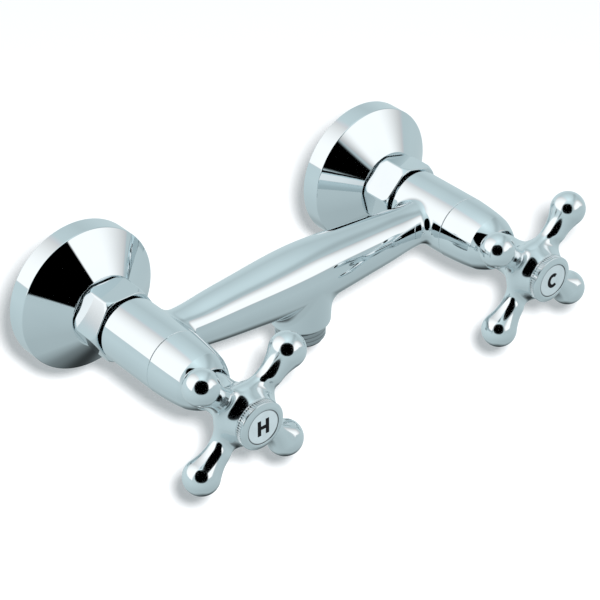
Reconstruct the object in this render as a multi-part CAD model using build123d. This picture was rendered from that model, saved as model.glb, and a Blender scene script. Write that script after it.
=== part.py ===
from build123d import *
import math
import os

os.makedirs("parts", exist_ok=True)

# Wall-mounted shower mixer with two cross handles.
# Sizes in mm. X runs along the wall from hot to cold, Y into the wall, Z up.
# The origin lies on the wall, midway between the two inlets.
# Each inlet, valve and handle is turned about a line along Y.
# "Out" is a distance from the wall towards the user, so out = -Y.

# Inlets and wall connections
inlet_spacing = 150.0
wall_thread_r = 10.48
wall_thread_length = 15.0
wall_bore_r = 7.0
wall_offset = 7.5

# Wall flanges
flange_r = 31.0
flange_rim = 8.6
flange_depth = 20.0
flange_land = 3.4
flange_wall = 1.2
flange_edge = 0.6

# Offset unions behind the flanges
union_thread_r = 12.0
union_neck = 0.6
union_bend = 9.0
union_bore_r = 6.2

# Union nuts
nut_wall = 1.95
nut_length = 14.4
nut_gap = 0.7
nut_lip = 2.3
nut_chamfer = 2.6
nut_crown = 0.9
hot_nut_turn = 0.0
cold_nut_turn = -15.0

# Inlet tails, washers and strainers
tail_collar_gap = 0.8
tail_collar = 2.5
tail_neck_r = 9.5
tail_thread_r = 8.5
tail_thread_length = 6.0
tail_bore_r = 6.0
washer_thick = 2.0
washer_bore_r = 7.2
strainer_ledge = 1.2
strainer_thick = 0.5
strainer_hole_r = 0.55
strainer_pitch = 1.9

# Cast body: two barrels, a swelling cross bar and the outlet boss
barrel_wall = 3.1
barrel_edge = 0.6
body_gap = 1.4
seat_land = 1.5
chamber_length = 13.0
bar_place = 6.0
bar_middle_r = 13.5
bar_shoulder_r = 11.65
bar_neck_r = 10.3
bar_end_r = 9.15
bar_taper = 14.0
bar_straight = 15.0
bar_fillet = 4.0
waterway_r = 5.5
boss_wall = 2.0
boss_flare = 0.9
boss_drop = 21.5
boss_edge = 1.8
boss_fillet = 6.0

# Outlet nipple and its seal
outlet_thread_r = 10.48
outlet_thread_length = 6.9
outlet_shank = 1.48
outlet_shank_length = 9.0
outlet_bore_r = 5.6
outlet_socket = 12.0
outlet_socket_depth = 4.5
outlet_seal_thick = 0.7
outlet_seal_inset = 0.4
outlet_chamfer = 0.9

# Valve bonnets
bonnet_thread_r = 10.48
bonnet_thread_depth = 1.28
bonnet_thread_length = 8.4
bonnet_runout = 0.5
bonnet_collar = 1.3
bonnet_hex_gap = 0.4
bonnet_hex_length = 4.8
bonnet_neck_wall = 3.6
bonnet_neck_length = 8.0
bonnet_skirt_wall = 1.0
bonnet_window = 70.0
bonnet_window_length = 6.0
gasket_thick = 0.7
gasket_width = 1.7

# Ceramic discs, seals and spindle
seal_thick = 5.0
seal_proud = 1.5
disc_thick = 3.2
port_inner_r = 2.4
port_rim = 1.3
port_angle = 78.0
driver_thick = 3.0
tang_width = 3.0
tang_height = 2.0
tang_inner = 1.0
friction_washer_thick = 0.6
spindle_r = 4.9
ring_section = 1.3
ring_groove = 1.8
ring_inset = 6.6
ring_pitch = 6.5
clip_thick = 0.8
clip_width = 2.5
clip_groove = 0.8
spline_r = 4.0
spline_tooth = 0.35
spline_teeth = 20
spline_start = 1.4
spindle_end_gap = 1.2

# Domed shrouds over the bonnets
shroud_seam = 0.1
shroud_length = 22.0
shroud_wall = 1.1
shroud_straight = 4.0
shroud_brow = 6.1
shroud_brow_drop = 1.75
shroud_mouth_gap = 0.6
shroud_lip = 0.6
shroud_web = 3.0
shroud_web_place = 8.0

# Cross handles
arm_plane = 19.2
arm_r = 4.8
arm_bend_r = 17.3
ball_r = 7.2
ball_place = 28.0
ball_lead = 3.0
hub_r = 9.9
hub_step = 0.9
hub_neck_r = 7.5
hub_overlap = 0.8
hub_flare = 9.0
cap_wall = 2.5
cap_recess = 7.6
screw_seat = 2.2
hot_handle_turn = 43.0
cold_handle_turn = 50.4

# Handle screws
screw_r = 2.5
screw_length = 9.0
screw_head_r = 4.6
screw_head = 3.0
screw_socket = 4.0
screw_socket_depth = 1.8

# Index rings and discs
index_depth = 5.4
index_bevel = 0.85
index_slope = 1.8
index_land = 0.95
index_wall = 1.0
index_spigot = 3.0
index_disc_thick = 1.4
index_disc_inset = 0.1

# Clearances
thread_clearance = 0.05
running_clearance = 0.05
loose_clearance = 0.3

# Widths that follow from the sizes above
half_spacing = inlet_spacing / 2
hex_corner = 1 / math.cos(math.pi / 6)
flange_mouth_r = union_thread_r + flange_land
union_neck_r = union_thread_r - union_neck
nut_half = union_thread_r + thread_clearance + nut_wall
tail_collar_r = union_thread_r - tail_collar_gap
strainer_r = washer_bore_r + strainer_ledge
chamber_r = bonnet_thread_r - loose_clearance / 3
gasket_r = bonnet_thread_r + gasket_width
barrel_r = bonnet_thread_r + barrel_wall
boss_foot_r = outlet_thread_r + boss_wall
boss_top_r = boss_foot_r + boss_flare
outlet_shank_r = outlet_thread_r - outlet_shank
bonnet_skirt_r = bonnet_thread_r - bonnet_thread_depth
bonnet_bore_r = bonnet_skirt_r - bonnet_skirt_wall
bonnet_neck_r = spindle_r + bonnet_neck_wall
shroud_inner_r = barrel_r - shroud_wall
bonnet_half = (shroud_inner_r - bonnet_hex_gap) / hex_corner
disc_r = bonnet_bore_r - loose_clearance
port_outer_r = disc_r - port_rim
moving_disc_r = disc_r - loose_clearance
tang_inner_r = port_inner_r + tang_inner
ring_groove_r = spindle_r - ring_section
clip_groove_r = spindle_r - clip_groove
clip_r = clip_groove_r + clip_width
spline_root_r = spline_r - spline_tooth
shroud_mouth_r = hub_neck_r + shroud_mouth_gap
cap_recess_r = hub_r - cap_wall
spigot_r = cap_recess_r - thread_clearance
index_front_r = hub_r - index_slope
index_disc_r = index_front_r - index_land
ball_rise = math.sqrt(ball_r**2 - ball_lead**2)

# Places along each valve, out from the wall
nut_rear = flange_depth + nut_gap
nut_front = nut_rear + nut_length
collar_front = nut_front - nut_lip
collar_rear = collar_front - tail_collar
union_front = collar_rear - washer_thick
body_rear = nut_front + body_gap
tail_front = body_rear + tail_thread_length
seat = tail_front + seat_land
bar_out = seat + bar_place
chamber_front = seat + chamber_length
bonnet_thread_rear = chamber_front + bonnet_runout
body_front = bonnet_thread_rear + bonnet_thread_length
fixed_disc_rear = seat + seal_thick
moving_disc_rear = fixed_disc_rear + disc_thick
driver_rear = moving_disc_rear + disc_thick
driver_front = driver_rear + driver_thick
shoulder = driver_front + friction_washer_thick
bonnet_hex_rear = body_front + bonnet_collar
bonnet_hex_front = bonnet_hex_rear + bonnet_hex_length
bonnet_front = bonnet_hex_front + bonnet_neck_length
ring_places = (bonnet_front - ring_inset - ring_pitch, bonnet_front - ring_inset)
clip_rear = bonnet_front + running_clearance
clip_front = clip_rear + clip_thick
spline_rear = clip_front + spline_start
shroud_rear = body_front + shroud_seam
shroud_front = shroud_rear + shroud_length
arm_out = shroud_front + arm_plane
hub_front = arm_out + arm_r + hub_step
hub_rear = shroud_front - hub_overlap
recess_floor = hub_front - cap_recess
socket_floor = recess_floor - screw_seat
spindle_front = socket_floor - spindle_end_gap
screw_rear = recess_floor - screw_length
index_front = hub_front + index_depth
index_disc_front = index_front - index_disc_inset
index_seat = index_disc_front - index_disc_thick

# Heights under the cross bar
seal_foot = -boss_drop - outlet_seal_thick
outlet_foot = seal_foot - outlet_thread_length
shank_top = outlet_shank_length - boss_drop


def turned(points, x=0.0):
    """Turns a closed outline of (radius, out) points about the valve's line at x."""
    outline = Polyline([(r, -out) for r, out in points], close=True)
    return Pos(x, 0, 0) * revolve(make_face(outline), Axis.Y, 360)


def tube(outer, inner, rear, front, x=0.0):
    """A plain ring between two places out from the wall."""
    return turned([(inner, rear), (outer, rear), (outer, front), (inner, front)], x)


def rod(radius, rear, front, x=0.0, z=0.0):
    """A round bar along Y between two places out from the wall."""
    return Pos(x, -(rear + front) / 2, z) * Rot(90, 0, 0) * Cylinder(radius, front - rear)


def hexagon(half, rear, front, turn=0.0):
    """A hexagonal bar along Y, half across its flats, a corner towards +X at no turn."""
    outline = RegularPolygon(half * hex_corner, 6, rotation=turn)
    return Plane.XZ.offset(rear) * extrude(outline, front - rear)


def sector(inner, outer, middle, width, rear, front):
    """A ring sector along Y, centred on an angle from +X towards +Z."""
    slab = tube(outer, inner, rear, front)
    reach = outer * 3
    half = math.radians(width / 2)
    corners = [(0, 0), (reach * math.cos(half), -reach * math.sin(half))]
    corners.append((reach * math.cos(half), reach * math.sin(half)))
    wedge = Plane.XZ.offset(rear) * extrude(make_face(Polyline(corners, close=True)), front - rear)
    return slab & (Rot(0, -middle, 0) * wedge)


def save(shape, name):
    """Writes one named piece."""
    export_step(shape, f"parts/{name}.step")


def wall_flange(x):
    """A hollow rosette: a short rim, then a straight cone down to the mouth."""
    rim_front = (flange_r, -flange_rim)
    mouth = (flange_mouth_r, -flange_depth)
    cone = Line(rim_front, mouth)
    bore = union_thread_r + thread_clearance
    front = Line(mouth, (bore, -flange_depth))
    lip = Line((bore, -flange_depth), (bore, -(flange_depth - flange_wall)))
    inner_mouth = (flange_mouth_r - flange_wall, -(flange_depth - flange_wall))
    inner_rim = (flange_r - flange_wall, -(flange_rim - flange_wall / 2))
    under = Line((bore, -(flange_depth - flange_wall)), inner_mouth)
    inner_cone = Line(inner_mouth, inner_rim)
    inner_side = Line(inner_rim, (flange_r - flange_wall, 0))
    foot = Line((flange_r - flange_wall, 0), (flange_r, 0))
    side = Line((flange_r, 0), rim_front)
    outline = make_face([cone, front, lip, under, inner_cone, inner_side, foot, side])
    solid = revolve(outline, Axis.Y, 360)
    rim_edge = solid.edges().filter_by(GeomType.CIRCLE).group_by(Edge.length)[-1]
    rim_edge = rim_edge.sort_by(Axis.Y)[0]
    solid = fillet(rim_edge, flange_edge)
    return Pos(x, 0, 0) * solid


def offset_union(x):
    """The offset connector: wall thread, slanting neck, then the union thread."""
    wall_face = Plane.XZ.offset(0) * Pos(0, -wall_offset, 0) * Circle(union_neck_r)
    bend_face = Plane.XZ.offset(union_bend) * Circle(union_neck_r)
    body = loft([wall_face, bend_face], ruled=True)
    body += rod(wall_thread_r, -wall_thread_length, 0, 0, -wall_offset)
    body += rod(union_thread_r, union_bend, union_front)
    inlet = rod(wall_bore_r, -wall_thread_length, 0, 0, -wall_offset)
    inlet_face = Plane.XZ.offset(0) * Pos(0, -wall_offset, 0) * Circle(wall_bore_r)
    outlet_face = Plane.XZ.offset(union_bend) * Circle(union_bore_r)
    slant = loft([inlet_face, outlet_face], ruled=True)
    body -= inlet
    body -= slant
    body -= rod(union_bore_r, union_bend, union_front)
    return Pos(x, 0, 0) * body


def union_nut(x, turn):
    """A hexagon nut with a lip that pulls the tail's collar onto the washer."""
    corner_r = nut_half * hex_corner
    end_r = nut_half + nut_crown
    blank = hexagon(nut_half, nut_rear, nut_front, turn)
    crown = turned(
        [
            (0, nut_rear),
            (end_r, nut_rear),
            (corner_r, nut_rear + nut_chamfer),
            (corner_r, nut_front - nut_chamfer),
            (end_r, nut_front),
            (0, nut_front),
        ]
    )
    solid = blank & crown
    solid -= rod(union_thread_r + thread_clearance, nut_rear, collar_front)
    solid -= rod(tail_neck_r + thread_clearance, collar_front, nut_front)
    return Pos(x, 0, 0) * solid


def inlet_tail(x):
    """The threaded tail with the collar that the nut pulls on."""
    return turned(
        [
            (tail_bore_r, collar_rear),
            (tail_collar_r, collar_rear),
            (tail_collar_r, collar_front),
            (tail_neck_r, collar_front),
            (tail_neck_r, body_rear),
            (tail_thread_r, body_rear),
            (tail_thread_r, tail_front),
            (tail_bore_r, tail_front),
        ],
        x,
    )


def union_washer(x):
    """The rubber sealing washer, rebated for the strainer."""
    ledge = collar_rear - strainer_thick
    return turned(
        [
            (washer_bore_r, union_front),
            (tail_collar_r, union_front),
            (tail_collar_r, collar_rear),
            (strainer_r, collar_rear),
            (strainer_r, ledge),
            (washer_bore_r, ledge),
        ],
        x,
    )


def strainer(x):
    """A perforated steel disc in the washer's rebate."""
    front = collar_rear
    rear = front - strainer_thick
    disc = rod(strainer_r - thread_clearance, rear, front)
    holes = [rod(strainer_hole_r, rear, front)]
    rings = int((washer_bore_r - strainer_hole_r) / strainer_pitch)
    for ring in range(1, rings + 1):
        away = ring * strainer_pitch
        for step in range(6 * ring):
            angle = math.pi * step / (3 * ring)
            place = (away * math.cos(angle), away * math.sin(angle))
            holes.append(rod(strainer_hole_r, rear, front, place[0], place[1]))
    return Pos(x, 0, 0) * (disc - holes)


def body_shell():
    """The outside of the casting, before its waterways are cut."""
    boss_axis = Pos(0, -bar_out, 0)
    end_x = half_spacing - bar_straight
    neck_x = end_x - bar_taper
    shoulder_x = end_x / 2
    rim = Spline(
        (-end_x, bar_end_r),
        (-neck_x, bar_neck_r),
        (-shoulder_x, bar_shoulder_r),
        (0, bar_middle_r),
        (shoulder_x, bar_shoulder_r),
        (neck_x, bar_neck_r),
        (end_x, bar_end_r),
        tangents=[(1, 0.02), (1, -0.02)],
    )
    edges = [rim]
    edges.append(Line((end_x, bar_end_r), (half_spacing, bar_end_r)))
    edges.append(Line((half_spacing, bar_end_r), (half_spacing, 0)))
    edges.append(Line((half_spacing, 0), (-half_spacing, 0)))
    edges.append(Line((-half_spacing, 0), (-half_spacing, bar_end_r)))
    edges.append(Line((-half_spacing, bar_end_r), (-end_x, bar_end_r)))
    bar = boss_axis * revolve(make_face(edges), Axis.X, 360)
    boss = boss_axis * Pos(0, 0, -boss_drop / 2) * Cone(boss_foot_r, boss_top_r, boss_drop)
    shell = bar + boss
    junction = [e for e in shell.edges() if is_boss_junction(e)]
    shell = fillet(junction, boss_fillet)
    for side in (-1, 1):
        shell += Pos(side * half_spacing, 0, 0) * Rot(0, 90 - 90 * side, 0) * barrel()
    joints = [e for e in shell.edges() if is_bar_junction(e)]
    shell = fillet(joints, bar_fillet)
    foot = shell.edges().filter_by(GeomType.CIRCLE).sort_by(Axis.Z)[0]
    return fillet(foot, boss_edge)


def barrel():
    """The outside of one valve barrel, rounded at its wall end."""
    solid = rod(barrel_r, body_rear, body_front)
    rear = solid.edges().filter_by(GeomType.CIRCLE).sort_by(Axis.Y)[-1]
    return fillet(rear, barrel_edge)


def is_boss_junction(edge):
    """True for the curves where the bar and the boss meet."""
    box = edge.bounding_box()
    low_enough = box.max.Z < -1 and box.min.Z > -boss_drop + 1
    return low_enough and max(abs(box.min.X), abs(box.max.X)) < boss_top_r + 1


def is_bar_junction(edge):
    """True for the curves where the bar runs into a barrel."""
    box = edge.bounding_box()
    inside_x = max(abs(box.min.X), abs(box.max.X)) < half_spacing - 1
    beyond_x = min(abs(box.min.X), abs(box.max.X)) > half_spacing - barrel_r - 1
    round_bar = box.size.Z < 2 * barrel_r - 0.1 and box.size.Z > 1
    return inside_x and beyond_x and round_bar


def mixer_body():
    """The cast body with its waterways, valve chambers and threaded mouths."""
    shell = body_shell()
    for side in (-1, 1):
        x = side * half_spacing
        shell -= rod(tail_thread_r + thread_clearance, body_rear, tail_front, x)
        shell -= rod(tail_bore_r, body_rear, seat, x)
        shell -= rod(chamber_r, seat, chamber_front, x)
        shell -= rod(bonnet_thread_r + thread_clearance, chamber_front, body_front, x)
        shell -= rod(gasket_r, body_front - gasket_thick, body_front, x)
    reach = half_spacing - chamber_r / 2
    shell -= Pos(0, -bar_out, 0) * Rot(0, 90, 0) * Cylinder(waterway_r, 2 * reach)
    drop = Pos(0, -bar_out, -boss_drop / 2)
    shell -= drop * Cylinder(waterway_r, boss_drop)
    thread_middle = (shank_top - boss_drop) / 2
    socket = Cylinder(outlet_shank_r + thread_clearance, outlet_shank_length)
    shell -= Pos(0, -bar_out, thread_middle) * socket
    return shell


def outlet_nipple():
    """The outlet's hose thread, screwed into the boss with a hexagon key."""
    outline = Polyline(
        [
            (outlet_bore_r, shank_top),
            (outlet_shank_r, shank_top),
            (outlet_shank_r, seal_foot),
            (outlet_thread_r, seal_foot),
            (outlet_thread_r, outlet_foot),
            (outlet_bore_r, outlet_foot),
        ],
        close=True,
    )
    face = Plane.XZ * make_face(outline)
    nipple = revolve(face, Axis.Z, 360)
    rim = nipple.edges().filter_by(GeomType.CIRCLE).group_by(Axis.Z)[0].sort_by(Edge.length)[-1]
    nipple = chamfer(rim, outlet_chamfer)
    key = RegularPolygon(outlet_socket / 2 * hex_corner, 6)
    nipple -= Pos(0, 0, outlet_foot) * extrude(key, outlet_socket_depth)
    return Pos(0, -bar_out, 0) * nipple


def outlet_seal():
    """The flat ring between the boss and the outlet nipple's shoulder."""
    ring = Cylinder(outlet_thread_r - outlet_seal_inset, outlet_seal_thick)
    ring -= Cylinder(outlet_shank_r + thread_clearance, outlet_seal_thick)
    return Pos(0, -bar_out, (seal_foot - boss_drop) / 2) * ring


def bonnet(x):
    """The brass headwork: windowed skirt, thread, hexagon and neck."""
    skirt_rear = seat + seal_proud
    outer = turned(
        [
            (0, skirt_rear),
            (bonnet_skirt_r, skirt_rear),
            (bonnet_skirt_r, bonnet_thread_rear),
            (bonnet_thread_r, bonnet_thread_rear),
            (bonnet_thread_r, body_front),
            (gasket_r, body_front),
            (gasket_r, bonnet_hex_rear),
            (bonnet_neck_r, bonnet_hex_rear),
            (bonnet_neck_r, bonnet_front),
            (0, bonnet_front),
        ]
    )
    outer += hexagon(bonnet_half, bonnet_hex_rear, bonnet_hex_front)
    outer -= rod(bonnet_bore_r, skirt_rear, shoulder)
    outer -= rod(spindle_r + running_clearance, shoulder, bonnet_front)
    window_rear = bonnet_thread_rear - bonnet_window_length
    bore = bonnet_bore_r - bonnet_skirt_wall
    rim = bonnet_skirt_r + bonnet_skirt_wall
    for middle in (90, 270):
        outer -= sector(bore, rim, middle, bonnet_window, window_rear, bonnet_thread_rear)
    return Pos(x, 0, 0) * outer


def bonnet_gasket(x):
    """The ring between the body's mouth and the bonnet's hexagon."""
    inner = bonnet_thread_r + thread_clearance
    outer = gasket_r - thread_clearance
    return tube(outer, inner, body_front - gasket_thick, body_front, x)


def seat_seal(x):
    """The soft ring between the body's seat and the fixed disc."""
    outer = bonnet_bore_r - thread_clearance
    return tube(outer, port_outer_r + running_clearance, seat, fixed_disc_rear, x)


def fixed_disc(x):
    """The still ceramic disc with two ports."""
    disc = rod(disc_r, fixed_disc_rear, moving_disc_rear)
    for middle in (90, 270):
        disc -= sector(port_inner_r, port_outer_r, middle, port_angle, fixed_disc_rear, moving_disc_rear)
    return Pos(x, 0, 0) * disc


def moving_disc(x):
    """The turning ceramic disc: two lobes cover the ports when the valve is shut."""
    disc = rod(moving_disc_r, moving_disc_rear, driver_rear)
    for middle in (0, 180):
        rim = moving_disc_r + port_rim
        disc -= sector(port_inner_r, rim, middle, port_angle, moving_disc_rear, driver_rear)
    slot_width = tang_width + 2 * running_clearance
    slot_depth = tang_height + running_clearance
    length = moving_disc_r - tang_inner_r
    for side in (-1, 1):
        middle_z = side * (tang_inner_r + length / 2)
        slot = Box(slot_width, slot_depth, length + loose_clearance)
        disc -= Pos(0, -(driver_rear - slot_depth / 2), middle_z) * slot
    return Pos(x, 0, 0) * disc


def friction_washer(x):
    """The slippery washer between the driver and the bonnet's shoulder."""
    return tube(moving_disc_r, spindle_r + running_clearance, driver_front, shoulder, x)


def spindle(x):
    """The valve spindle: driver with two tangs, grooved shaft, splined end."""
    half_groove = ring_groove / 2
    points = [(0, driver_rear), (moving_disc_r, driver_rear), (moving_disc_r, driver_front)]
    points.append((spindle_r, driver_front))
    for place in ring_places:
        points.append((spindle_r, place - half_groove))
        points.append((ring_groove_r, place - half_groove))
        points.append((ring_groove_r, place + half_groove))
        points.append((spindle_r, place + half_groove))
    points.append((spindle_r, clip_rear))
    points.append((clip_groove_r, clip_rear))
    points.append((clip_groove_r, clip_front))
    points.append((spindle_r, clip_front))
    points.append((spindle_r, spline_rear))
    points.append((0, spline_rear))
    shaft = turned(points)
    shaft += spline_bar(0, spline_rear, spindle_front)
    length = moving_disc_r - tang_inner_r - loose_clearance
    for side in (-1, 1):
        tang = Box(tang_width, tang_height, length)
        middle_z = side * (tang_inner_r + length / 2)
        shaft += Pos(0, -(driver_rear - tang_height / 2), middle_z) * tang
    shaft -= rod(screw_r, screw_rear, spindle_front)
    return Pos(x, 0, 0) * shaft


def spline_bar(grow, rear, front, turn=0.0):
    """A toothed bar; grow widens it all round for the handle's socket."""
    corners = []
    for tooth in range(spline_teeth):
        for share, radius in ((0.0, spline_root_r), (0.5, spline_r)):
            angle = math.radians(turn) + 2 * math.pi * (tooth + share) / spline_teeth
            away = radius + grow
            corners.append((away * math.cos(angle), away * math.sin(angle)))
    return Plane.XZ.offset(rear) * extrude(make_face(Polyline(corners, close=True)), front - rear)


def spindle_rings(x):
    """Two rubber rings in the spindle's grooves."""
    section = ring_section / 2
    ring = Rot(90, 0, 0) * Torus(ring_groove_r + section, section)
    rings = [Pos(x, -place, 0) * ring for place in ring_places]
    return Compound(children=rings)


def spindle_clip(x):
    """The open clip that holds the spindle in the bonnet."""
    ring = tube(clip_r, clip_groove_r + thread_clearance, clip_rear, clip_front)
    gap = Box(clip_groove_r, clip_thick, clip_r)
    ring -= Pos(0, -(clip_rear + clip_front) / 2, clip_r / 2) * gap
    return Pos(x, 0, 0) * ring


def shroud(x):
    """The domed cover, with the inner web that screws onto the bonnet's neck."""
    straight_out = shroud_rear + shroud_straight
    lip_r = shroud_mouth_r + shroud_lip
    brow_out = shroud_front - shroud_brow
    brow_r = barrel_r - shroud_brow_drop
    start = (barrel_r, -straight_out)
    end = (lip_r, -shroud_front)
    inner_start = (shroud_inner_r, -straight_out)
    inner_brow = (brow_r - shroud_wall, -(brow_out - shroud_wall / 2))
    inner_end = (shroud_mouth_r, -(shroud_front - shroud_wall))
    dome = Spline(start, (brow_r, -brow_out), end, tangents=[(0, -1), (-0.8, -1)])
    under = Spline(inner_end, inner_brow, inner_start, tangents=[(0.8, 1), (0, 1)])
    web_rear = shroud_rear + shroud_web_place
    edges = [
        Line((barrel_r, -shroud_rear), start),
        dome,
        Line(end, (shroud_mouth_r, -shroud_front)),
        Line((shroud_mouth_r, -shroud_front), inner_end),
        under,
        Line(inner_start, (shroud_inner_r, -shroud_rear)),
        Line((shroud_inner_r, -shroud_rear), (barrel_r, -shroud_rear)),
    ]
    cover = revolve(make_face(edges), Axis.Y, 360)
    web_r = shroud_inner_r + shroud_wall / 3
    cover += tube(web_r, bonnet_neck_r + thread_clearance, web_rear, web_rear + shroud_web)
    return Pos(x, 0, 0) * cover


def handle(x, turn):
    """A cast cross handle: hub, four bent webs, four waisted arms with ball ends."""
    slab = Polyline(
        [
            (arm_bend_r, 0),
            (0, arm_bend_r),
            (-arm_bend_r, 0),
            (0, -arm_bend_r),
        ],
        close=True,
    )
    solid = Plane.XZ.offset(arm_out - arm_r) * extrude(make_face(slab), 2 * arm_r)
    for quarter in range(4):
        solid -= corner_cut(quarter)
    for quarter in range(4):
        solid += corner_bend(quarter)
    arm = handle_arm()
    for quarter in range(4):
        solid += Rot(0, -90 * quarter, 0) * arm
    solid += handle_hub()
    solid -= rod(cap_recess_r, recess_floor, hub_front)
    solid -= rod(screw_r + loose_clearance, socket_floor, recess_floor)
    solid -= spline_bar(running_clearance, hub_rear, socket_floor, -turn)
    return Pos(x, 0, 0) * Rot(0, -turn, 0) * solid


def corner_cut(quarter):
    """The round space between two arms, out to the middle line of the web."""
    tool = Pos(arm_bend_r, -arm_out, arm_bend_r) * Rot(90, 0, 0) * Cylinder(arm_bend_r, 4 * arm_r)
    return Rot(0, -90 * quarter, 0) * tool


def corner_bend(quarter):
    """The round web that bends from one arm into the next."""
    path_middle = Pos(arm_bend_r, -arm_out, arm_bend_r)
    bend = path_middle * Rot(90, 0, 0) * Torus(arm_bend_r, arm_r)
    near = Box(arm_bend_r, 4 * arm_r, arm_bend_r)
    bend = bend & (Pos(arm_bend_r / 2, -arm_out, arm_bend_r / 2) * near)
    return Rot(0, -90 * quarter, 0) * bend


def handle_arm():
    """One arm towards +X: a waist that swells into the ball."""
    waist = (arm_bend_r, arm_r)
    meet = (ball_place - ball_lead, ball_rise)
    tip = (ball_place + ball_r, 0)
    side_out = ball_r * math.cos(math.pi / 4)
    swell = Spline(waist, meet, tangents=[(1, 0), (1, ball_lead / ball_rise)])
    ball = ThreePointArc(meet, (ball_place + side_out, side_out), tip)
    root = (arm_bend_r, 0)
    edges = [Line(root, waist), swell, ball, Line(tip, root)]
    arm = revolve(make_face(edges), Axis.X, 360)
    return Pos(0, -arm_out, 0) * arm


def handle_hub():
    """The hub: a neck that widens into the round seat under the index ring."""
    flare_out = arm_out - arm_r
    neck_out = flare_out - hub_flare
    flare = Spline(
        (hub_neck_r, -neck_out),
        (hub_r, -flare_out),
        tangents=[(0, -1), (0.4, -1)],
    )
    edges = [
        Line((0, -hub_rear), (hub_neck_r, -hub_rear)),
        Line((hub_neck_r, -hub_rear), (hub_neck_r, -neck_out)),
        flare,
        Line((hub_r, -flare_out), (hub_r, -hub_front)),
        Line((hub_r, -hub_front), (0, -hub_front)),
        Line((0, -hub_front), (0, -hub_rear)),
    ]
    return revolve(make_face(edges), Axis.Y, 360)


def handle_screw(x):
    """The socket screw that holds the handle on its spindle."""
    head_front = recess_floor + screw_head
    screw = rod(screw_r - running_clearance, screw_rear + loose_clearance, recess_floor)
    screw += rod(screw_head_r, recess_floor, head_front)
    screw -= hexagon(screw_socket / 2, head_front - screw_socket_depth, head_front)
    return Pos(x, 0, 0) * screw


def index_ring(x):
    """The ring that screws into the hub and carries the index disc."""
    opening = index_disc_r + thread_clearance
    bore = spigot_r - index_wall
    return turned(
        [
            (bore, hub_front - index_spigot),
            (spigot_r, hub_front - index_spigot),
            (spigot_r, hub_front),
            (hub_r, hub_front),
            (hub_r, index_front - index_bevel),
            (index_front_r, index_front),
            (opening, index_front),
            (opening, index_seat),
            (bore, index_seat),
        ],
        x,
    )


def index_disc(x):
    """The flat disc that shows which side is hot or cold."""
    return rod(index_disc_r, index_seat, index_disc_front, x)


sides = (
    ("hot", -half_spacing, hot_nut_turn, hot_handle_turn),
    ("cold", half_spacing, cold_nut_turn, cold_handle_turn),
)

save(mixer_body(), "mixer_body")
save(outlet_nipple(), "outlet_nipple")
save(outlet_seal(), "outlet_seal")

for side_name, side_x, nut_turn, handle_turn in sides:
    save(wall_flange(side_x), f"{side_name}_wall_flange")
    save(offset_union(side_x), f"{side_name}_offset_union")
    save(union_washer(side_x), f"{side_name}_union_washer")
    save(strainer(side_x), f"{side_name}_strainer")
    save(inlet_tail(side_x), f"{side_name}_inlet_tail")
    save(union_nut(side_x, nut_turn), f"{side_name}_union_nut")
    save(bonnet_gasket(side_x), f"{side_name}_bonnet_gasket")
    save(bonnet(side_x), f"{side_name}_bonnet")
    save(seat_seal(side_x), f"{side_name}_seat_seal")
    save(fixed_disc(side_x), f"{side_name}_fixed_disc")
    save(moving_disc(side_x), f"{side_name}_moving_disc")
    save(friction_washer(side_x), f"{side_name}_friction_washer")
    save(spindle(side_x), f"{side_name}_spindle")
    save(spindle_rings(side_x), f"{side_name}_spindle_rings")
    save(spindle_clip(side_x), f"{side_name}_spindle_clip")
    save(shroud(side_x), f"{side_name}_shroud")
    save(handle(side_x, handle_turn), f"{side_name}_handle")
    save(handle_screw(side_x), f"{side_name}_handle_screw")
    save(index_ring(side_x), f"{side_name}_index_ring")
    save(index_disc(side_x), f"{side_name}_index_disc")
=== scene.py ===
"""A wall-mounted shower mixer with cross handles, dressed in chromium plate over its solid frame.
Shapes are worked out in millimetres. X runs from hot to cold, Y into the wall, Z up, out = -Y."""

import functools
import math

import bpy
import numpy as np
from bpy.props import FloatProperty, FloatVectorProperty, IntProperty, PointerProperty
from mathutils import Matrix, Vector


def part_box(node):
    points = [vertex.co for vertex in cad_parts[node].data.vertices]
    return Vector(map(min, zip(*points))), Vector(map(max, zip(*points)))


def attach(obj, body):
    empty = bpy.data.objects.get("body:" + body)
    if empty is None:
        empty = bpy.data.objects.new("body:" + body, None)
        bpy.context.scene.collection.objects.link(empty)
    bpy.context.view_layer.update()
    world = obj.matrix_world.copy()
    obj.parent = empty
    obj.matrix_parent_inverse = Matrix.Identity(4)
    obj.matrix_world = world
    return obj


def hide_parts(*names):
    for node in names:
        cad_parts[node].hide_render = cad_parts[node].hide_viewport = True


bl_info = {
    "name": "Cross Handle Shower Mixer",
    "version": (1, 0, 0),
    "blender": (4, 5, 0),
    "location": "View3D > Sidebar > Mixer",
    "description": "Builds the plated skins, threads, letters and studio of a wall-mounted shower mixer",
    "category": "Object",
}

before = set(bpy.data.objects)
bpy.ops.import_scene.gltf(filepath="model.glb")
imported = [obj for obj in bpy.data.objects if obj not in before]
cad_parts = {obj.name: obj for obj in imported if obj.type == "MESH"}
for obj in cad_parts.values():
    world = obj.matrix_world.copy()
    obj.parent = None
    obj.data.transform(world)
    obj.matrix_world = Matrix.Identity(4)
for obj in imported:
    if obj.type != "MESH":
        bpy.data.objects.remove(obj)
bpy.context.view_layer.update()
MM = 0.001
TINY = 1e-6  # what counts as nothing


def reach(node, axis, end):
    """Where a frame node starts (end 0) or stops (end 1) along an axis, in millimetres."""
    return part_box(node)[end][axis] / MM


def out_rear(node):
    """How far out from the wall a frame node starts, in millimetres."""
    return -reach(node, 1, 1)


def out_front(node):
    """How far out from the wall a frame node ends, in millimetres."""
    return -reach(node, 1, 0)


def half_width(node):
    """Half the width of a frame node along X, in millimetres."""
    return (reach(node, 0, 1) - reach(node, 0, 0)) / 2


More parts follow.
